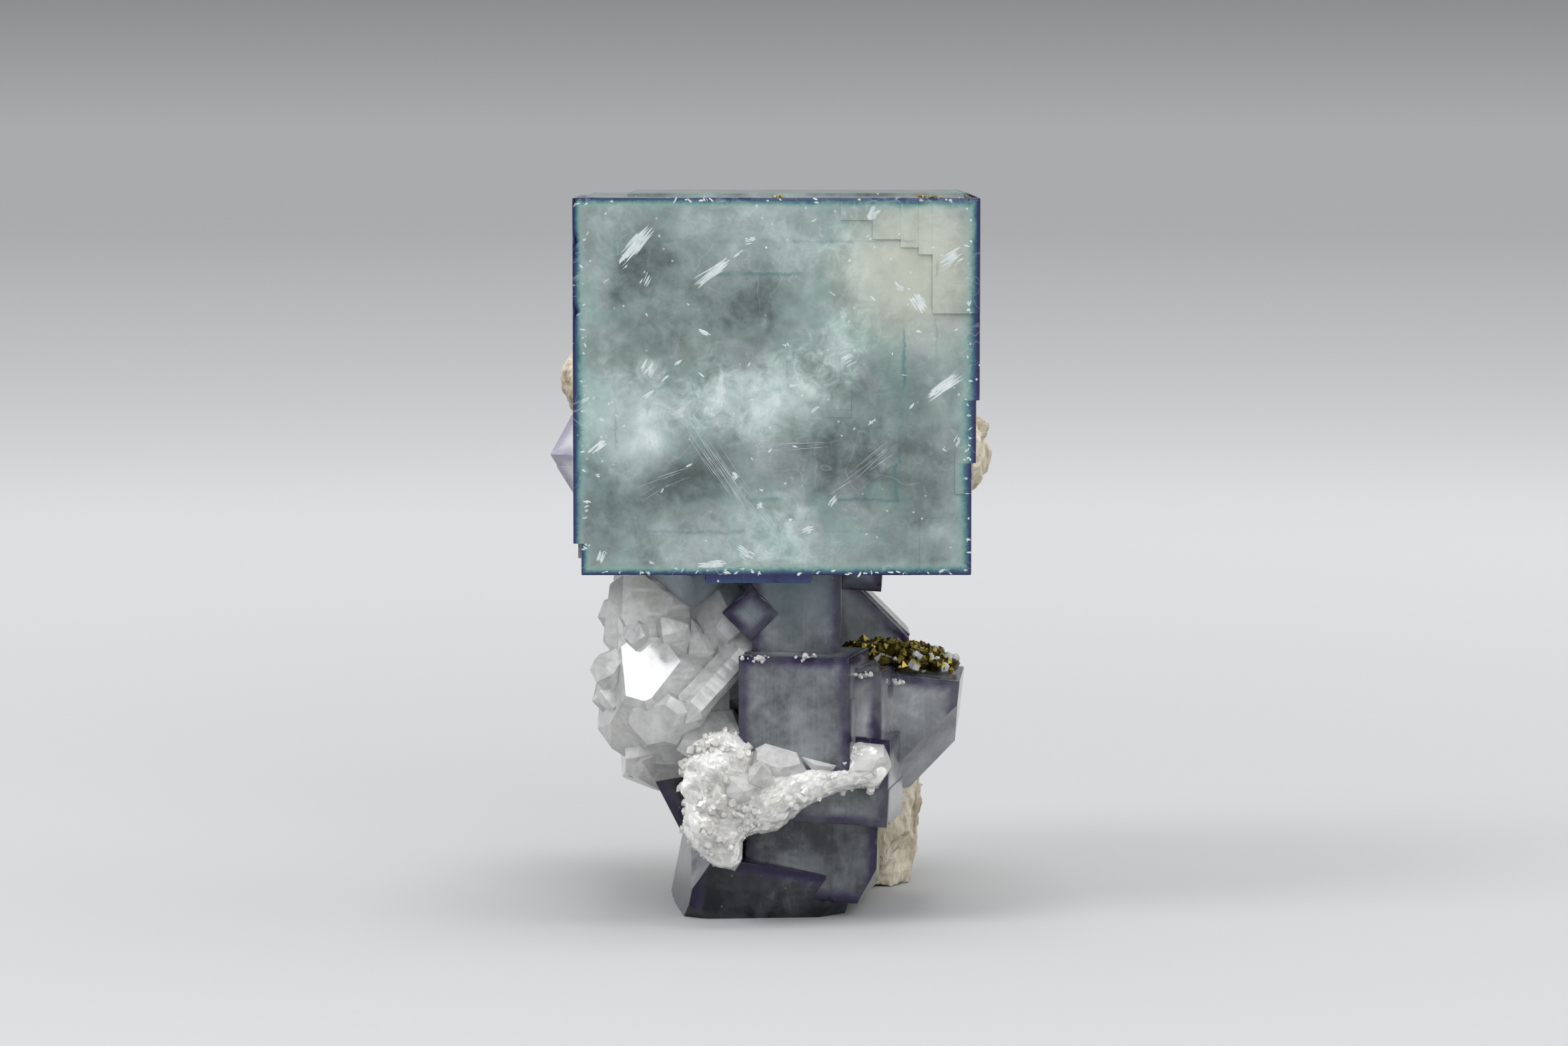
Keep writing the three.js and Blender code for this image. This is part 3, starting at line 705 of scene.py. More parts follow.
def zoned_fluorite(settings):
    """Fluorite grown in zones: cloudy blue-green inside, with a teal and then a violet-navy skin that shows
    as a dark rim where it is seen edge on. Glassy cubic faces with low square growth steps."""
    material, tree, shader, place = blank_material("zoned_fluorite")
    middle = tuple(-(CUBE_CENTRE + SHIFT))
    local = node(tree, "ShaderNodeMapping", {"Vector": place, "Location": middle}).outputs[0]
    other = node(tree, "ShaderNodeMapping", {"Vector": local, "Location": (31, 17, 5)}).outputs[0]
    noise = {}
    for size, detail, rough, distortion, at in (
        (12, 3, 0.5, 0.7, local),
        (8, 3, 0.5, 1.0, local),
        (7, 3, 0.5, 0.0, other),
        (6, 3, 0.5, 1.0, other),
        (5, 2, 0.5, 0.0, local),
        (3.6, 4, 0.55, 0.5, local),
        (2.4, 4, 0.6, 0.0, local),
        (2.2, 6, 0.7, 0.8, local),
        (1.8, 4, 0.6, 0.0, local),
        (0.9, 5, 0.7, 0.3, local),
        (0.5, 3, 0.6, 0.0, local),
        (0.35, 3, 0.6, 0.0, local),
    ):
        inputs = {"Vector": at, "Scale": 1 / size, "Detail": detail, "Roughness": rough}
        inputs["Distortion"] = distortion
        noise[size] = node(tree, "ShaderNodeTexNoise", inputs).outputs["Fac"]

    # cloud: three sizes of milkiness, then the wisps and clear windows in the front face, of which the middle
    # wisp is also a painted glow of light coming through the cube from behind
    tone = 0.0
    for size, share in ((12, 0.44), (3.6, 0.36), (0.9, 0.2)):
        inputs = {0: noise[size], 1: share, 2: tone}
        tone = node(tree, "ShaderNodeMath", inputs, operation="MULTIPLY_ADD").outputs[0]
    wisp = node(tree, "ShaderNodeMath", {0: noise[2.2], 1: 9.0, 2: -4.5}, operation="MULTIPLY_ADD").outputs[0]
    for x, z, reach, gain, stretch in CLOUDS_AND_GLOW:
        inputs = {"Vector": local, "Location": (-x * stretch, CLOUD_DEPTH, -z), "Scale": (stretch, 1.0, 1.0)}
        off = node(tree, "ShaderNodeMapping", inputs).outputs[0]
        gap = node(tree, "ShaderNodeVectorMath", {0: off}, operation="LENGTH").outputs["Value"]
        soft = node(tree, "ShaderNodeMath", {0: gap, 1: wisp}, operation="ADD").outputs[0]
        inputs = {"Value": soft, "From Min": reach + 2.4, "From Max": reach - 2.8, "To Max": gain}
        patch = node(tree, "ShaderNodeMapRange", inputs, interpolation_type="SMOOTHSTEP").outputs[0]
        tone = node(tree, "ShaderNodeMath", {0: tone, 1: patch}, operation="ADD").outputs[0]
    inputs = {"Value": tone, "From Min": 0.31, "From Max": 0.89}
    milk = node(tree, "ShaderNodeMapRange", inputs).outputs[0]
    stops = ((0, "#626f6d"), (1, "#eef6f3"), (0.25, "#8b9a97"), (0.45, "#a3b2ae"), (0.7, "#c0d0cc"))
    colour = node(tree, "ShaderNodeValToRGB", {0: milk}, stops=stops).outputs[0]

    # drifts of green and of lilac in the cloud, and a warm tint at the upper right, where the pale rock
    # shows through
    warm = node(tree, "ShaderNodeVectorMath", {0: local, 1: (14.0, -CLOUD_DEPTH, 12.0)}, operation="DISTANCE")
    for value, low, high, share, tint in (
        (noise[8], 0.5, 0.68, 0.35, "#8fb5ab"),
        (noise[6], 0.54, 0.7, 0.35, "#b9bcc6"),
        (warm.outputs["Value"], 11.0, 2.0, 0.75, "#d2d1c0"),
    ):
        inputs = {"Value": value, "From Min": low, "From Max": high, "To Max": share}
        drift = node(tree, "ShaderNodeMapRange", inputs, interpolation_type="SMOOTHSTEP").outputs[0]
        inputs = {0: drift, 6: colour, 7: linear(tint)}
        colour = node(tree, "ShaderNodeMix", inputs, data_type="RGBA").outputs[2]

    # zones: distance from the nearest edge, wider at the sides than at the top and bottom, and ragged at
    # two sizes
    parts = node(tree, "ShaderNodeSeparateXYZ", {0: local}).outputs
    upright = node(tree, "ShaderNodeMath", {0: parts[2]}, operation="ABSOLUTE").outputs[0]
    inputs = {0: upright, 1: -0.021, 2: settings.rim_width / MM / 2}
    width = node(tree, "ShaderNodeMath", inputs, operation="MULTIPLY_ADD").outputs[0]
    inputs = {0: parts[0], 1: 0.006, 2: width}
    width = node(tree, "ShaderNodeMath", inputs, operation="MULTIPLY_ADD").outputs[0]
    edge = edge_depth(tree)
    depth = node(tree, "ShaderNodeMath", {0: edge, 1: width}, operation="DIVIDE").outputs[0]
    ragged = -0.8
    for size, share in ((2.4, 0.9), (0.5, 0.7)):
        inputs = {0: noise[size], 1: share, 2: ragged}
        ragged = node(tree, "ShaderNodeMath", inputs, operation="MULTIPLY_ADD").outputs[0]
    inputs = {"Value": depth, "From Min": 0.0, "From Max": 0.8}
    inside = node(tree, "ShaderNodeMapRange", inputs, interpolation_type="SMOOTHSTEP").outputs[0]
    inputs = {0: ragged, 1: inside, 2: depth}
    depth = node(tree, "ShaderNodeMath", inputs, operation="MULTIPLY_ADD").outputs[0]
    inward = node(tree, "ShaderNodeMapRange", {"Value": depth, "From Max": 3.0}).outputs[0]
    stops = (
        (0, "#231a42"),
        (1, "#9db1ad"),
        (0.08, "#262c57"),
        (0.16, "#2f4f69"),
        (0.26, "#4a7878"),
        (0.45, "#7d9f9a"),
    )
    zones = node(tree, "ShaderNodeValToRGB", {0: inward}, stops=stops).outputs[0]
    inputs = {"Value": depth, "From Min": 2.2, "From Max": 0.5}
    rim = node(tree, "ShaderNodeMapRange", inputs, interpolation_type="SMOOTHSTEP").outputs[0]
    colour = node(tree, "ShaderNodeMix", {0: rim, 6: colour, 7: zones}, data_type="RGBA").outputs[2]

    # older zone boundaries: thin teal lines that follow the faces further in, in broken stretches
    wavy = node(tree, "ShaderNodeMath", {0: edge, 1: ragged}, operation="ADD").outputs[0]
    for inset, reach, strength, broken in ((7.6, 0.3, 0.6, noise[7]), (4.4, 0.2, 0.3, noise[6])):
        off = node(tree, "ShaderNodeMath", {0: wavy, 1: inset}, operation="SUBTRACT").outputs[0]
        off = node(tree, "ShaderNodeMath", {0: off}, operation="ABSOLUTE").outputs[0]
        inputs = {"Value": off, "From Min": reach, "From Max": 0.02, "To Max": strength}
        line = node(tree, "ShaderNodeMapRange", inputs, interpolation_type="SMOOTHSTEP").outputs[0]
        inputs = {"Value": broken, "From Min": 0.44, "From Max": 0.6}
        kept = node(tree, "ShaderNodeMapRange", inputs, interpolation_type="SMOOTHSTEP").outputs[0]
        line = node(tree, "ShaderNodeMath", {0: line, 1: kept}, operation="MULTIPLY").outputs[0]
        inputs = {0: line, 6: colour, 7: linear("#4a8589")}
        colour = node(tree, "ShaderNodeMix", inputs, data_type="RGBA").outputs[2]

    colour = marks(tree, colour, local, ((5.0, noise[7]), (2.6, noise[6])), 1.3, noise[5], "#eef3f1")
    tree.links.new(colour, shader.inputs["Base Color"])

    # low square growth hillocks and a fine etch
    hillock = node(tree, "ShaderNodeTexVoronoi", {"Vector": local, "Scale": 1 / 6}, distance="CHEBYCHEV")
    inputs = {0: hillock.outputs["Distance"], 1: 0.12}
    steps = node(tree, "ShaderNodeMath", inputs, operation="SNAP").outputs[0]
    inputs = {0: noise[0.35], 1: 0.12, 2: steps}
    relief = node(tree, "ShaderNodeMath", inputs, operation="MULTIPLY_ADD").outputs[0]
    bump = node(tree, "ShaderNodeBump", {"Height": relief, "Strength": 0.3, "Distance": 0.05 * MM})
    tree.links.new(bump.outputs[0], shader.inputs["Normal"])
    inputs = {"Value": noise[1.8], "From Min": 0.3, "From Max": 0.75, "To Min": 0.05, "To Max": 0.24}
    tree.links.new(node(tree, "ShaderNodeMapRange", inputs).outputs[0], shader.inputs["Roughness"])
    inputs = {"Value": milk, "To Min": 0.5, "To Max": 0.15}
    clear = node(tree, "ShaderNodeMapRange", inputs).outputs[0]
    clear = node(tree, "ShaderNodeMix", {0: rim, 2: clear, 3: 0.08}).outputs[0]
    tree.links.new(clear, shader.inputs["Transmission Weight"])
    shader.inputs["IOR"].default_value = FLUORITE_IOR
    volume = node(tree, "ShaderNodeVolumeAbsorption", {"Color": linear("#a9c9c8"), "Density": 12.0})
    tree.links.new(volume.outputs[0], tree.nodes["Material Output"].inputs["Volume"])
    return material


def violet_fluorite(name, body_stops, rim_stops, rim_reach, pale_rim, blue_share, see_through):
    """Smoky fluorite: grey and nearly clear inside, with a violet skin that darkens towards every edge. Each
    piece's stored darkness also darkens its body and strengthens its skin, partly as smoky colour and partly
    as painted shade.
    """
    material, tree, shader, place = blank_material(name)
    noise = {}
    for size, detail in ((5, 4), (1.3, 5), (0.4, 3)):
        inputs = {"Vector": place, "Scale": 1 / size, "Detail": detail, "Roughness": 0.6, "Distortion": 0.3}
        noise[size] = node(tree, "ShaderNodeTexNoise", inputs).outputs["Fac"]
    blend = node(tree, "ShaderNodeMix", {0: 0.25, 2: noise[5], 3: noise[1.3]}).outputs[0]
    inputs = {"Vector": place, "Scale": (5.0, 5.0, 0.12)}
    upright = node(tree, "ShaderNodeMapping", inputs).outputs[0]
    lines = node(tree, "ShaderNodeTexNoise", {"Vector": upright, "Scale": 1.0, "Detail": 2}).outputs["Fac"]
    blend = node(tree, "ShaderNodeMix", {0: 0.08, 2: blend, 3: lines}).outputs[0]
    # darkness stored on each piece: partly the crystal's smoky colour and partly painted shade on the low
    # cubes and the foot, with a painted lit side on the foot's upper left face
    smoke_and_shade = node(tree, "ShaderNodeAttribute", attribute_name="smoke_and_shade").outputs["Fac"]
    inputs = {"Value": smoke_and_shade, "From Min": 0.0, "From Max": 1.0, "To Min": 0.42, "To Max": -0.42}
    shift = node(tree, "ShaderNodeMapRange", inputs).outputs[0]
    strong = node(tree, "ShaderNodeMath", {0: blend, 1: 1.7, 2: -0.35}, operation="MULTIPLY_ADD").outputs[0]
    tone = node(tree, "ShaderNodeMath", {0: strong, 1: shift}, operation="ADD").outputs[0]
    body = node(tree, "ShaderNodeValToRGB", {0: tone}, stops=body_stops).outputs[0]
    height = node(tree, "ShaderNodeSeparateXYZ", {0: place}).outputs[2]
    inputs = {"Value": height, "From Min": 27.0, "From Max": 34.0, "To Min": 0.0, "To Max": blue_share}
    upper = node(tree, "ShaderNodeMapRange", inputs).outputs[0]
    body = node(tree, "ShaderNodeMix", {0: upper, 6: body, 7: linear("#6b8794")}, data_type="RGBA").outputs[2]
    ragged = node(tree, "ShaderNodeMath", {0: noise[1.3], 1: 0.5}, operation="SUBTRACT").outputs[0]
    ragged = node(tree, "ShaderNodeMath", {0: ragged, 1: 0.8}, operation="MULTIPLY").outputs[0]
    depth = node(tree, "ShaderNodeMath", {0: edge_depth(tree), 1: ragged}, operation="ADD").outputs[0]
    inputs = {"Value": depth, "From Min": 0.0, "From Max": rim_reach}
    inward = node(tree, "ShaderNodeMapRange", inputs).outputs[0]
    rim = node(tree, "ShaderNodeValToRGB", {0: inward}, stops=rim_stops).outputs[0]
    inputs = {"Value": inward, "From Min": 0.95, "From Max": 0.3}
    share = node(tree, "ShaderNodeMapRange", inputs, interpolation_type="SMOOTHSTEP").outputs[0]
    inputs = {"Value": noise[5], "From Min": 0.36, "From Max": 0.6, "To Min": 0.5, "To Max": 1.0}
    patchy = node(tree, "ShaderNodeMapRange", inputs).outputs[0]
    share = node(tree, "ShaderNodeMath", {0: share, 1: patchy}, operation="MULTIPLY").outputs[0]
    inputs = {"Value": smoke_and_shade, "From Min": 0.0, "From Max": 0.25, "To Min": pale_rim, "To Max": 1.0}
    weak = node(tree, "ShaderNodeMapRange", inputs).outputs[0]
    share = node(tree, "ShaderNodeMath", {0: share, 1: weak}, operation="MULTIPLY").outputs[0]
    colour = node(tree, "ShaderNodeMix", {0: share, 6: body, 7: rim}, data_type="RGBA").outputs[2]
    colour = marks(tree, colour, place, ((3.0, noise[5]),), 1.2, noise[1.3], "#90929d")
    tree.links.new(colour, shader.inputs["Base Color"])
    hillock = node(tree, "ShaderNodeTexVoronoi", {"Vector": place, "Scale": 1 / 3.2}, distance="CHEBYCHEV")
    inputs = {0: hillock.outputs["Distance"], 1: 0.15}
    steps = node(tree, "ShaderNodeMath", inputs, operation="SNAP").outputs[0]
    relief = node(tree, "ShaderNodeMix", {0: 0.4, 2: steps, 3: noise[0.4]}).outputs[0]
    bump = node(tree, "ShaderNodeBump", {"Height": relief, "Strength": 0.45, "Distance": 0.08 * MM})
    tree.links.new(bump.outputs[0], shader.inputs["Normal"])
    inputs = {"Value": noise[1.3], "From Min": 0.3, "From Max": 0.75, "To Min": 0.04, "To Max": 0.2}
    tree.links.new(node(tree, "ShaderNodeMapRange", inputs).outputs[0], shader.inputs["Roughness"])
    shader.inputs["Transmission Weight"].default_value = see_through
    shader.inputs["IOR"].default_value = FLUORITE_IOR
    volume = node(tree, "ShaderNodeVolumeAbsorption", {"Color": linear("#b8b0c8"), "Density": 14.0})
    tree.links.new(volume.outputs[0], tree.nodes["Material Output"].inputs["Volume"])
    return material


def quartz_material(name, stops, see_through, rough, etch, stain=0.0):
    """Milky quartz: glassy broken faces over white clouds, greyer where it is clear, and stained cream low
    down where a share of stain is given."""
    material, tree, shader, place = blank_material(name)
    noise = {}
    for size, detail in ((3.5, 4), (0.9, 5), (0.25, 3)):
        inputs = {"Vector": place, "Scale": 1 / size, "Detail": detail, "Roughness": 0.6, "Distortion": 0.4}
        noise[size] = node(tree, "ShaderNodeTexNoise", inputs).outputs["Fac"]
    blend = node(tree, "ShaderNodeMix", {0: 0.5, 2: noise[3.5], 3: noise[0.9]}).outputs[0]
    inputs = {"Value": blend, "From Min": 0.32, "From Max": 0.68}
    tone = node(tree, "ShaderNodeMapRange", inputs).outputs[0]
    colour = node(tree, "ShaderNodeValToRGB", {0: tone}, stops=stops).outputs[0]
    height = node(tree, "ShaderNodeSeparateXYZ", {0: place}).outputs[2]
    inputs = {"Value": height, "From Min": 20.0, "From Max": 15.0, "To Max": stain}
    low = node(tree, "ShaderNodeMapRange", inputs).outputs[0]
    inputs = {0: low, 6: colour, 7: linear("#c9bfae")}
    colour = node(tree, "ShaderNodeMix", inputs, data_type="RGBA").outputs[2]
    tree.links.new(colour, shader.inputs["Base Color"])
    relief = node(tree, "ShaderNodeMix", {0: 0.5, 2: noise[0.9], 3: noise[0.25]}).outputs[0]
    bump = node(tree, "ShaderNodeBump", {"Height": relief, "Strength": etch, "Distance": 0.12 * MM})
    tree.links.new(bump.outputs[0], shader.inputs["Normal"])
    inputs = {"Value": noise[0.9], "From Min": 0.3, "From Max": 0.75, "To Min": rough, "To Max": rough + 0.18}
    tree.links.new(node(tree, "ShaderNodeMapRange", inputs).outputs[0], shader.inputs["Roughness"])
    shader.inputs["Transmission Weight"].default_value = see_through
    shader.inputs["IOR"].default_value = QUARTZ_IOR
    volume = node(tree, "ShaderNodeVolumeAbsorption", {"Color": linear("#d9d9d6"), "Density": 8.0})
    tree.links.new(volume.outputs[0], tree.nodes["Material Output"].inputs["Volume"])
    return material


def sulphide_material():
    """Chalcopyrite grains: brass-yellow metal with darker, greenish tarnish from grain to grain."""
    material, tree, shader, place = blank_material("chalcopyrite_grains")
    shade = node(tree, "ShaderNodeAttribute", attribute_name="shade").outputs["Fac"]
    inputs = {"Vector": place, "Scale": 1 / 0.5, "Detail": 4, "Roughness": 0.65}
    tarnish = node(tree, "ShaderNodeTexNoise", inputs).outputs["Fac"]
    blend = node(tree, "ShaderNodeMix", {0: 0.45, 2: shade, 3: tarnish}).outputs[0]
    stops = ((0.1, "#231f14"), (0.9, "#d8c274"), (0.35, "#5d5225"), (0.55, "#96843c"), (0.75, "#b9a24e"))
    colour = node(tree, "ShaderNodeValToRGB", {0: blend}, stops=stops).outputs[0]
    tree.links.new(colour, shader.inputs["Base Color"])
    bump = node(tree, "ShaderNodeBump", {"Height": tarnish, "Strength": 0.4, "Distance": 0.05 * MM})
    tree.links.new(bump.outputs[0], shader.inputs["Normal"])
    inputs = {"Value": tarnish, "From Min": 0.3, "From Max": 0.7, "To Min": 0.22, "To Max": 0.5}
    tree.links.new(node(tree, "ShaderNodeMapRange", inputs).outputs[0], shader.inputs["Roughness"])
    shader.inputs["Metallic"].default_value = 0.9
    return material


def rock_material():
    """Carbonate rock: dull cream with upright fibres, paler where the fibre bumps rise and browner where they
    sink, and mottled by a coarser noise.
    """
    material, tree, shader, place = blank_material("cream_carbonate_rock")
    inputs = {"Vector": place, "Scale": (1.0, 1.0, 0.22)}
    upright = node(tree, "ShaderNodeMapping", inputs).outputs[0]
    inputs = {"Vector": upright, "Scale": 1 / 0.7, "Detail": 5, "Roughness": 0.6, "Distortion": 0.3}
    fibre = node(tree, "ShaderNodeTexNoise", inputs).outputs["Fac"]
    inputs = {"Vector": place, "Scale": 1 / 4, "Detail": 5, "Roughness": 0.6}
    stain = node(tree, "ShaderNodeTexNoise", inputs).outputs["Fac"]
    inputs = {"Vector": place, "Scale": 1 / 0.35, "Detail": 3, "Roughness": 0.6}
    grit = node(tree, "ShaderNodeTexNoise", inputs).outputs["Fac"]
    blend = node(tree, "ShaderNodeMix", {0: 0.45, 2: stain, 3: fibre}).outputs[0]
    inputs = {"Value": blend, "From Min": 0.3, "From Max": 0.68}
    tone = node(tree, "ShaderNodeMapRange", inputs).outputs[0]
    stops = ((0, "#6d6453"), (1, "#e0d9ca"), (0.3, "#9b8f79"), (0.6, "#c3b9a6"))
    colour = node(tree, "ShaderNodeValToRGB", {0: tone}, stops=stops).outputs[0]
    tree.links.new(colour, shader.inputs["Base Color"])
    relief = node(tree, "ShaderNodeMix", {0: 0.4, 2: fibre, 3: grit}).outputs[0]
    bump = node(tree, "ShaderNodeBump", {"Height": relief, "Strength": 0.7, "Distance": 0.25 * MM})
    tree.links.new(bump.outputs[0], shader.inputs["Normal"])
    inputs = {"Value": grit, "From Min": 0.3, "From Max": 0.7, "To Min": 0.5, "To Max": 0.85}
    tree.links.new(node(tree, "ShaderNodeMapRange", inputs).outputs[0], shader.inputs["Roughness"])
    return material


def paper_material(settings):
    """Matt studio paper with a faint tooth, its colour graded by distance from the specimen: painted shade by
    it, brighter half a metre off, and a painted fall-off of the light to grey far off.
    """
    material, tree, shader, place = blank_material("studio_paper")
    gap = node(tree, "ShaderNodeVectorMath", {0: place}, operation="LENGTH").outputs["Value"]
    inputs = {"Vector": place, "Scale": 1 / 2.0, "Detail": 4}
    tooth = node(tree, "ShaderNodeTexNoise", inputs).outputs["Fac"]
    gap = node(tree, "ShaderNodeMath", {0: tooth, 1: 12.0, 2: gap}, operation="MULTIPLY_ADD").outputs[0]
    # painted shade by the specimen, then brighter paper, then a painted fall-off of the light far off
    colour = tuple(settings.paper_shade_near)
    for low, high, further in ((60.0, 620.0, settings.paper_middle), (320.0, 3800.0, settings.paper_falloff_far)):
        inputs = {"Value": gap, "From Min": low, "From Max": high}
        away = node(tree, "ShaderNodeMapRange", inputs, interpolation_type="SMOOTHSTEP").outputs[0]
        inputs = {0: away, 6: colour, 7: tuple(further)}
        colour = node(tree, "ShaderNodeMix", inputs, data_type="RGBA").outputs[2]
    tree.links.new(colour, shader.inputs["Base Color"])
    shader.inputs["Roughness"].default_value = 0.9
    return material


class SpecimenSettings(bpy.types.PropertyGroup):
    """Sizes and colours of the specimen that a user would change."""

    rim_width: bpy.props.FloatProperty(
        name="Rim width",
        description="Reach of the dark violet and teal growth zones from the large cube's edges",
        default=2.1 * MM,
        min=0.2 * MM,
        unit="LENGTH",
    )
    chip: bpy.props.FloatProperty(
        name="Edge chips",
        description="Depth of the nicks along the crystals' edges",
        default=0.5 * MM,
        min=0.0,
        unit="LENGTH",
    )
    nicks: bpy.props.IntProperty(
        name="Nicks",
        description="How many small white nicks and specks the large cube's front face has",
        default=150,
        min=3,
    )
    spikes: bpy.props.IntProperty(
        name="Tiny quartz points",
        description="How many tiny points stand on the tooth and the arm",
        default=1100,
        min=1,
    )
    grains: bpy.props.IntProperty(
        name="Sulphide grains",
        description="How many brassy grains lie on the crust",
        default=520,
        min=1,
    )
    # the paper by the specimen, darker there as painted shade
    paper_shade_near: bpy.props.FloatVectorProperty(
        name="Paper",
        description="Colour of the paper by the specimen",
        subtype="COLOR",
        size=4,
        default=linear("#aaabac"),
    )
    paper_middle: bpy.props.FloatVectorProperty(
        name="Paper further off",
        description="Colour of the paper half a metre from the specimen",
        subtype="COLOR",
        size=4,
        default=linear("#c9cacb"),
    )
    # the paper far off, greyer there as a painted fall-off of the light
    paper_falloff_far: bpy.props.FloatVectorProperty(
        name="Paper far off",
        description="Colour of the paper far from the specimen",
        subtype="COLOR",
        size=4,
        default=linear("#b4b5b7"),
    )


class SPECIMEN_OT_large_cube(bpy.types.Operator):
    """Makes the large zoned cube with its growth plates and chipped edges"""

    bl_idname = "specimen.large_cube"
    bl_label = "Large cube"

    def execute(self, context):
        settings = context.scene.specimen
        plates = []
        for axis, side, low, high, thickness in CUBE_PLATES:
            plates.append((axis, side, np.array(low) - CUBE_CENTRE, np.array(high) - CUBE_CENTRE, thickness))
        points, triangles, distance = crystal(
            CUBE_SIZE, CUBE_CENTRE, (0, 0, 0), 0.5, plates, 0.07, settings.chip / MM, 5
        )
        below = CUBE_BOTTOM - points[:, 2]
        low = points[:, 2] < CUBE_CENTRE[2]
        distance[low, 2] = np.where(below > 0, 0.3 * below, -below)[low]
        cube = make_piece("large_cube", points, triangles, {"edge": distance})
        finish_piece(cube, zoned_fluorite(settings), ["main_cube"])
        return {"FINISHED"}


class SPECIMEN_OT_flakes(bpy.types.Operator):
    """Makes the white cleavage flakes, hairline veils and nicks in the large cube's front face"""

    bl_idname = "specimen.flakes"
    bl_label = "Cleavage flakes"

    def execute(self, context):
        settings = context.scene.specimen
        chance = np.random.default_rng(8)
        slivers = []
        along, across = np.meshgrid(np.linspace(-1, 1, 9), np.linspace(-1, 1, 3), indexing="ij")
        taper = (1 - along**2) ** 0.6
        broad = [(*flake, 0.025, 0.1, (0.1, 0.42)) for flake in FLAKES]
        fine = [(*veil, 0.006, 0.016, (0.03, 0.3)) for veil in VEILS]
        # nicks all over the face, of which two thirds move out to its edges, in turn along X and along Z
        half = CUBE_SIZE[[0, 2]] / 2 - 0.15
        nicks = chance.uniform(-1, 1, (settings.nicks, 2)) * half
        moved = np.arange(settings.nicks * 2 // 3)
        axis = moved % 2
        inward = np.abs(chance.normal(0, 0.25, len(moved)))
        nicks[moved, axis] = np.sign(nicks[moved, axis]) * (half[axis] - inward)
        for x, z in nicks + CUBE_CENTRE[[0, 2]]:
            length = chance.uniform(0.25, 0.9)
            lean = chance.uniform(-70, 70)
            broad.append((x, z, length, 0.25, lean, 3, 0.02, 0.08, (0.1, 0.42)))
        for x, z, length, width, lean, count, thin, thick, reaches in broad + fine:
            way = np.array((math.cos(math.radians(lean)), math.sin(math.radians(lean))))
            side = np.array((-way[1], way[0]))
            for _ in range(count):
                reach = length * chance.uniform(*reaches)
                shift = chance.uniform(-1, 1) * (length / 2 - reach * 0.9)
                offset = np.clip(chance.normal(0, 0.5), -1, 1) * width / 2 * (1 - abs(shift) / length)
                half = chance.uniform(thin, thick)
                wave = half * across * taper + chance.normal(0, 0.06) * reach * along
                flat = (shift + reach * along)[..., None] * way + (offset + wave)[..., None] * side
                flat = flat + np.array((x, z))
                bulge = 0.012 * taper * (1 - across**2)
                rise = plate_rise(flat) + 0.004
                front = np.stack((flat[..., 0], CUBE_FRONT - rise - bulge, flat[..., 1]), -1)
                back = np.stack((flat[..., 0], CUBE_FRONT - rise + bulge, flat[..., 1]), -1)
                slivers.append(weld([front, back[::-1]]))
        points, triangles = gather(slivers)
        flakes = make_piece("cleavage_flakes", points, triangles)
        stops = ((0, "#b9c8c9"), (1, "#f4f7f5"), (0.5, "#dbe4e3"))
        finish_piece(flakes, quartz_material("cleavage_flake", stops, 0.25, 0.12, 0.4))
        return {"FINISHED"}


class SPECIMEN_OT_small_cubes(bpy.types.Operator):
    """Makes the smaller fluorite cubes, grown through each other, and the pale crystal behind"""

    bl_idname = "specimen.small_cubes"
    bl_label = "Smaller cubes"

    def execute(self, context):
        chip = context.scene.specimen.chip / MM
        cubes = []
        for seed, (size, centre, turn, cleaved, smoke_and_shade) in enumerate(SMALL_CUBES):
            plates = growth_plates(np.array(size) / 2, 0 if smoke_and_shade == 1 else 5, 0.16, 30 + seed)
            points, triangles, distance = crystal(size, centre, turn, 0.7, plates, 0.05, chip, seed)
            # each cube's darkness: partly smoky colour and partly painted shade, darkest on the low cubes and
            # the foot
            stored = {"edge": distance, "smoke_and_shade": np.full(len(points), smoke_and_shade)}
            cube = make_piece("small_cube", points, triangles, stored)
            if cleaved:
                cuts = [beyond_face(*face[:2], *(face[2:] or (smoke_and_shade,))) for face in cleaved]
                cube = combine("small_cube", cube, cuts, "DIFFERENCE")
            cubes.append(cube)
        joined = combine("small_cubes", cubes[0], cubes[1:], "UNION")
        below = cutting_block((-60, -60, -60), (60, 60, 0))
        joined = combine("small_cubes", joined, large_cube_space() + [below], "DIFFERENCE")
        body = ((0, "#1b1d20"), (1, "#d3d5d8"), (0.25, "#4c4f53"), (0.5, "#84888b"), (0.75, "#a9adb0"))
        rim = ((0, "#180d30"), (1, "#74727f"), (0.35, "#302150"), (0.7, "#4f456a"))
        material = violet_fluorite("smoky_violet_fluorite", body, rim, 1.8, 0.3, 0.6, 0.4)
        finish_piece(joined, material, ["fluorite_cluster", "rear_cube"])

        size, centre, turn = WING
        plates = growth_plates(np.array(size) / 2, 6, 0.16, 91)
        points, triangles, distance = crystal(size, centre, turn, 0.7, plates, 0.05, chip, 77)
        wing = make_piece("wing_cube", points, triangles, {"edge": distance})
        wing = combine("wing_cube", wing, large_cube_space(), "DIFFERENCE")
        body = ((0.5, "#d2cfdc"), (1, "#fdfcff"), (0.85, "#efedf5"))
        rim = ((0, "#7c6fa0"), (1, "#d4d2dc"), (0.4, "#a79fbe"))
        material = violet_fluorite("pale_fluorite", body, rim, 2.0, 0.7, 0.0, 0.45)
        finish_piece(wing, material, ["wing_crystal"])
        return {"FINISHED"}


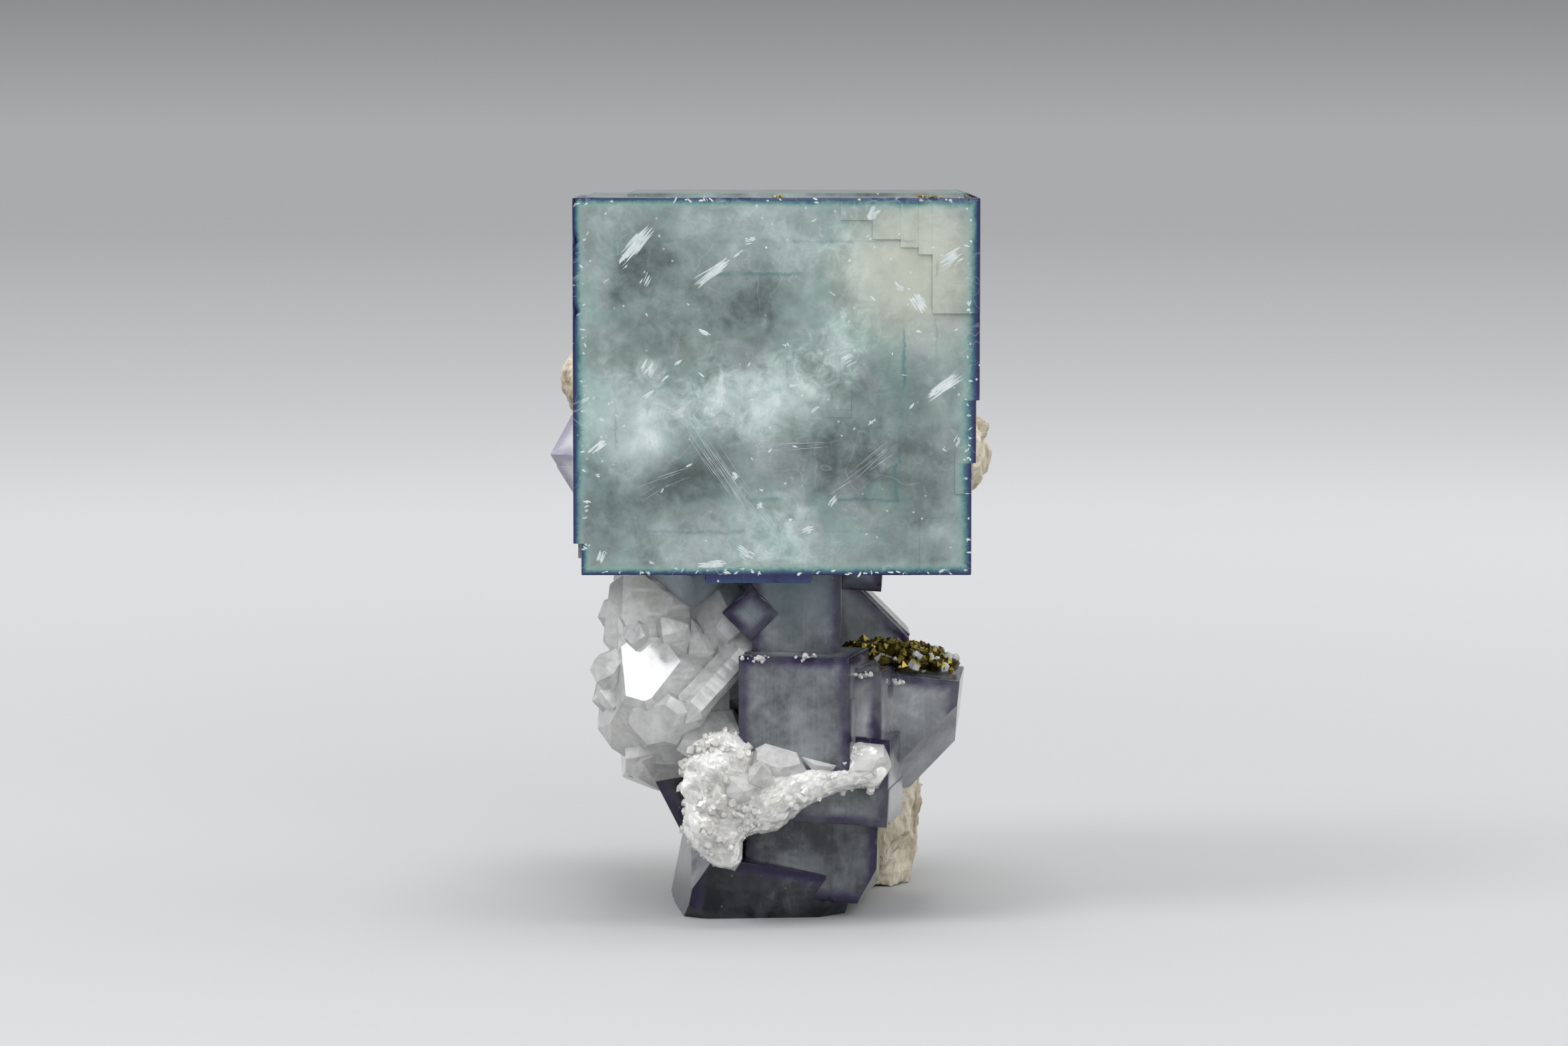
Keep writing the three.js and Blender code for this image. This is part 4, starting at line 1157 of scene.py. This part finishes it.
class SPECIMEN_OT_quartz(bpy.types.Operator):
    """Makes the quartz points, the massive quartz, the tooth, the arm and the tiny points on them"""

    bl_idname = "specimen.quartz"
    bl_label = "Quartz"

    def execute(self, context):
        settings = context.scene.specimen
        chance = np.random.default_rng(17)
        mass = faceted_mass(*QUARTZ_LUMPS[0])
        mass = combine("quartz_mass", mass, [beyond_face(*face) for face in QUARTZ_FACES], "DIFFERENCE")
        others = [faceted_mass(*spec) for spec in QUARTZ_LUMPS[1:]]
        for seed, spec in enumerate(QUARTZ_POINTS + QUARTZ_STUBS):
            others.append(make_piece("quartz_point", *quartz_point(*spec, seed)))
        joined = combine("quartz_points", mass, others, "UNION")
        joined = combine("quartz_points", joined, large_cube_space(), "DIFFERENCE")
        stops = ((0, "#c4c4c5"), (1, "#ffffff"), (0.4, "#e4e4e3"), (0.7, "#f6f6f4"))
        clear = quartz_material("glassy_quartz", stops, 0.5, 0.03, 0.05, 0.14)
        finish_piece(joined, clear, ["quartz_cluster"])

        limbs = limb(TOOTH, 3), limb(ARM, 4)
        spots, normals = surface_spots(*gather(limbs), settings.spikes * 4, chance)
        patch = value_noise(spots, 3.2, 5) > 0.05
        spots, normals = spots[patch][: settings.spikes], normals[patch][: settings.spikes]
        ways = normals + chance.normal(0, 0.6, normals.shape)
        radius = 0.06 + 0.4 * chance.random(len(spots)) ** 4
        sizes = np.stack((radius, radius, radius * chance.uniform(0.7, 1.3, len(spots))), 1)
        spots -= normals * radius[:, None] * 0.7
        spikes = repeat_shape(SPIKE, SPIKE_FACES, turns_towards(ways, chance), sizes, spots)
        tooth, arm = (make_piece("quartz_sheet", *shape) for shape in limbs)
        sheet = combine("quartz_sheet", tooth, [arm], "UNION")
        stops = ((0, "#c3c1bc"), (1, "#ffffff"), (0.4, "#e4e2dd"), (0.7, "#f7f5f1"))
        sugary = quartz_material("sugary_quartz", stops, 0.36, 0.05, 0.3)
        finish_piece(sheet, sugary)
        finish_piece(make_piece("quartz_druse", *spikes), sugary)
        return {"FINISHED"}


class SPECIMEN_OT_sulphides(bpy.types.Operator):
    """Makes the brassy grains on the crust and on the large cube, and the white crumbs among them"""

    bl_idname = "specimen.sulphides"
    bl_label = "Sulphide grains"

    def execute(self, context):
        settings = context.scene.specimen
        chance = np.random.default_rng(23)
        brass = sulphide_material()
        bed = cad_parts["sulphide_crust"]
        bed.data.materials.clear()
        bed.data.materials.append(brass)
        bed_points, bed_triangles = node_surface("sulphide_crust")
        spots, normals = surface_spots(bed_points, bed_triangles, settings.grains * 2, chance)
        spots = spots[normals[:, 2] > -0.1][: settings.grains]
        edge = np.repeat(EDGE_GROUPS, EDGE_GRAINS, 0)
        edge = edge + chance.normal(0, 0.3, edge.shape)
        edge[:, 1] = np.maximum(edge[:, 1], CUBE_FRONT + 0.15)
        edge = np.column_stack((edge, np.full(len(edge), EDGE_HEIGHT)))
        centres = np.concatenate((spots, edge))
        count = len(centres)
        radius = chance.uniform(0.12, 0.62, count)
        radius[len(spots) :] *= 0.45
        sizes = radius[:, None] * chance.uniform(0.7, 1.3, (count, 3))
        points, triangles = repeat_shape(GRAIN, GRAIN_FACES, random_turns(count, chance), sizes, centres)
        shade = np.repeat(chance.random(count), len(GRAIN))
        grains = make_piece("sulphide_grains", points, triangles, {"shade": shade})
        finish_piece(grains, brass)

        low = (bed_points[:, 2].min() + bed_points[:, 2].max()) / 2 - 0.4
        rim = spots[spots[:, 2] < low + 0.6][:90]
        front = np.repeat(CRUMB_GROUPS, CRUMBS, 0)
        front = front + chance.normal(0, 0.45, front.shape) * (1.6, 0.7, 0.3)
        crumbs = np.concatenate((rim, front))
        count = len(crumbs)
        sizes = chance.uniform(0.2, 0.75, (count, 1)) * chance.uniform(0.7, 1.2, (count, 3))
        sizes[len(rim) :] *= 0.55
        turns = random_turns(count, chance)
        points, triangles = repeat_shape(SPIKE * (0.8, 0.8, 0.6), SPIKE_FACES, turns, sizes, crumbs)
        white = make_piece("quartz_crumbs", points, triangles)
        stops = ((0, "#9a9995"), (1, "#f6f5f2"), (0.4, "#c6c5c1"), (0.7, "#e0dfdc"))
        finish_piece(white, quartz_material("quartz_crumb", stops, 0.25, 0.12, 0.4))
        return {"FINISHED"}


class SPECIMEN_OT_rock(bpy.types.Operator):
    """Makes the rough rock that the crystals grew on"""

    bl_idname = "specimen.rock"
    bl_label = "Rock"

    def execute(self, context):
        rock = make_piece("rough_rock", *node_surface("matrix_rock"))
        shell = rock.modifiers.new("even", "REMESH")
        shell.mode = "VOXEL"
        shell.voxel_size = 0.42 * MM
        graph = context.evaluated_depsgraph_get()
        mesh = bpy.data.meshes.new_from_object(rock.evaluated_get(graph))
        rock.modifiers.clear()
        rock.data = mesh
        points = np.empty(len(mesh.vertices) * 3, np.float32)
        mesh.vertices.foreach_get("co", points)
        normals = np.empty(len(mesh.vertices) * 3, np.float32)
        mesh.vertex_normals.foreach_get("vector", normals)
        points = points.reshape(-1, 3).astype(float) / MM
        normals = normals.reshape(-1, 3)
        rough = 0.55 * fractal(points, 3.2, 4, 61) + 0.3 * fractal(points * (1, 1, 0.3), 0.9, 2, 62)
        points += normals * (rough - 0.2)[:, None]
        points[:, 2] = np.maximum(points[:, 2], 0)
        mesh.vertices.foreach_set("co", (points * MM).astype(np.float32).ravel())
        mesh.update()
        finish_piece(rock, rock_material(), ["matrix_rock"])
        return {"FINISHED"}


class SPECIMEN_OT_stage(bpy.types.Operator):
    """Makes the paper floor, the soft studio light and the camera"""

    bl_idname = "specimen.stage"
    bl_label = "Stage"

    def execute(self, context):
        scene = context.scene
        reach = np.linspace(-4000, 4000, 3)
        sheet = np.zeros((3, 3, 3))
        sheet[..., 0], sheet[..., 1] = np.meshgrid(reach, reach, indexing="ij")
        floor = make_piece("paper_floor", *weld([sheet - SHIFT]))
        floor.data.materials.append(paper_material(scene.specimen))

        world = bpy.data.worlds.new("studio")
        scene.world = world
        world.use_nodes = True
        tree = world.node_tree
        way = node(tree, "ShaderNodeTexCoord").outputs["Generated"]
        height = node(tree, "ShaderNodeSeparateXYZ", {0: way}).outputs[2]
        stops = ((0, "#aaabac"), (1, "#ffffff"), (0.026, "#8c8d8f"), (0.12, "#9c9d9f"), (0.5, "#e4e5e6"))
        dome = node(tree, "ShaderNodeValToRGB", {0: height}, stops=stops).outputs[0]
        sky = tree.nodes["Background"]
        tree.links.new(dome, sky.inputs["Color"])
        sky.inputs["Strength"].default_value = 1.0

        for name, place, size, power, colour in SOFTBOXES:
            lamp = bpy.data.lights.new(name, "AREA")
            lamp.size = size
            lamp.energy = power
            lamp.color = linear(colour)[:3]
            holder = bpy.data.objects.new(name, lamp)
            holder.location = place
            aim = Vector((0, 0, 0.035)) - holder.location
            holder.rotation_euler = aim.to_track_quat("-Z", "Y").to_euler()
            scene.collection.objects.link(holder)

        lens = bpy.data.cameras.new("camera")
        lens.sensor_width = CAMERA_SENSOR
        lens.lens = CAMERA_LENS
        camera = bpy.data.objects.new("camera", lens)
        eye = Vector(tuple((CAMERA_PLACE + SHIFT) * MM))
        target = Vector(tuple((CAMERA_AIM + SHIFT) * MM))
        camera.location = eye
        camera.rotation_euler = (target - eye).to_track_quat("-Z", "Y").to_euler()
        scene.collection.objects.link(camera)
        scene.camera = camera
        scene.view_settings.view_transform = "Standard"
        return {"FINISHED"}


class SPECIMEN_PT_panel(bpy.types.Panel):
    """Lists the specimen's pieces and their settings"""

    bl_label = "Specimen"
    bl_idname = "SPECIMEN_PT_panel"
    bl_space_type = "VIEW_3D"
    bl_region_type = "UI"
    bl_category = "Specimen"

    def draw(self, context):
        for name in SpecimenSettings.__annotations__:
            self.layout.prop(context.scene.specimen, name)
        for operator in OPERATORS:
            self.layout.operator(operator.bl_idname)


OPERATORS = (
    SPECIMEN_OT_large_cube,
    SPECIMEN_OT_flakes,
    SPECIMEN_OT_small_cubes,
    SPECIMEN_OT_quartz,
    SPECIMEN_OT_sulphides,
    SPECIMEN_OT_rock,
    SPECIMEN_OT_stage,
)
CLASSES = (SpecimenSettings, *OPERATORS, SPECIMEN_PT_panel)


def register():
    """Registers the classes and hangs the settings on the scene."""
    for item in CLASSES:
        bpy.utils.register_class(item)
    bpy.types.Scene.specimen = bpy.props.PointerProperty(type=SpecimenSettings)


def unregister():
    """Takes the settings off the scene and unregisters the classes."""
    del bpy.types.Scene.specimen
    for item in reversed(CLASSES):
        bpy.utils.unregister_class(item)


def main():
    """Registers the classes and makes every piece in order."""
    register()
    bpy.ops.specimen.large_cube()
    bpy.ops.specimen.flakes()
    bpy.ops.specimen.small_cubes()
    bpy.ops.specimen.quartz()
    bpy.ops.specimen.sulphides()
    bpy.ops.specimen.rock()
    bpy.ops.specimen.stage()


if __name__ == "__main__":
    main()
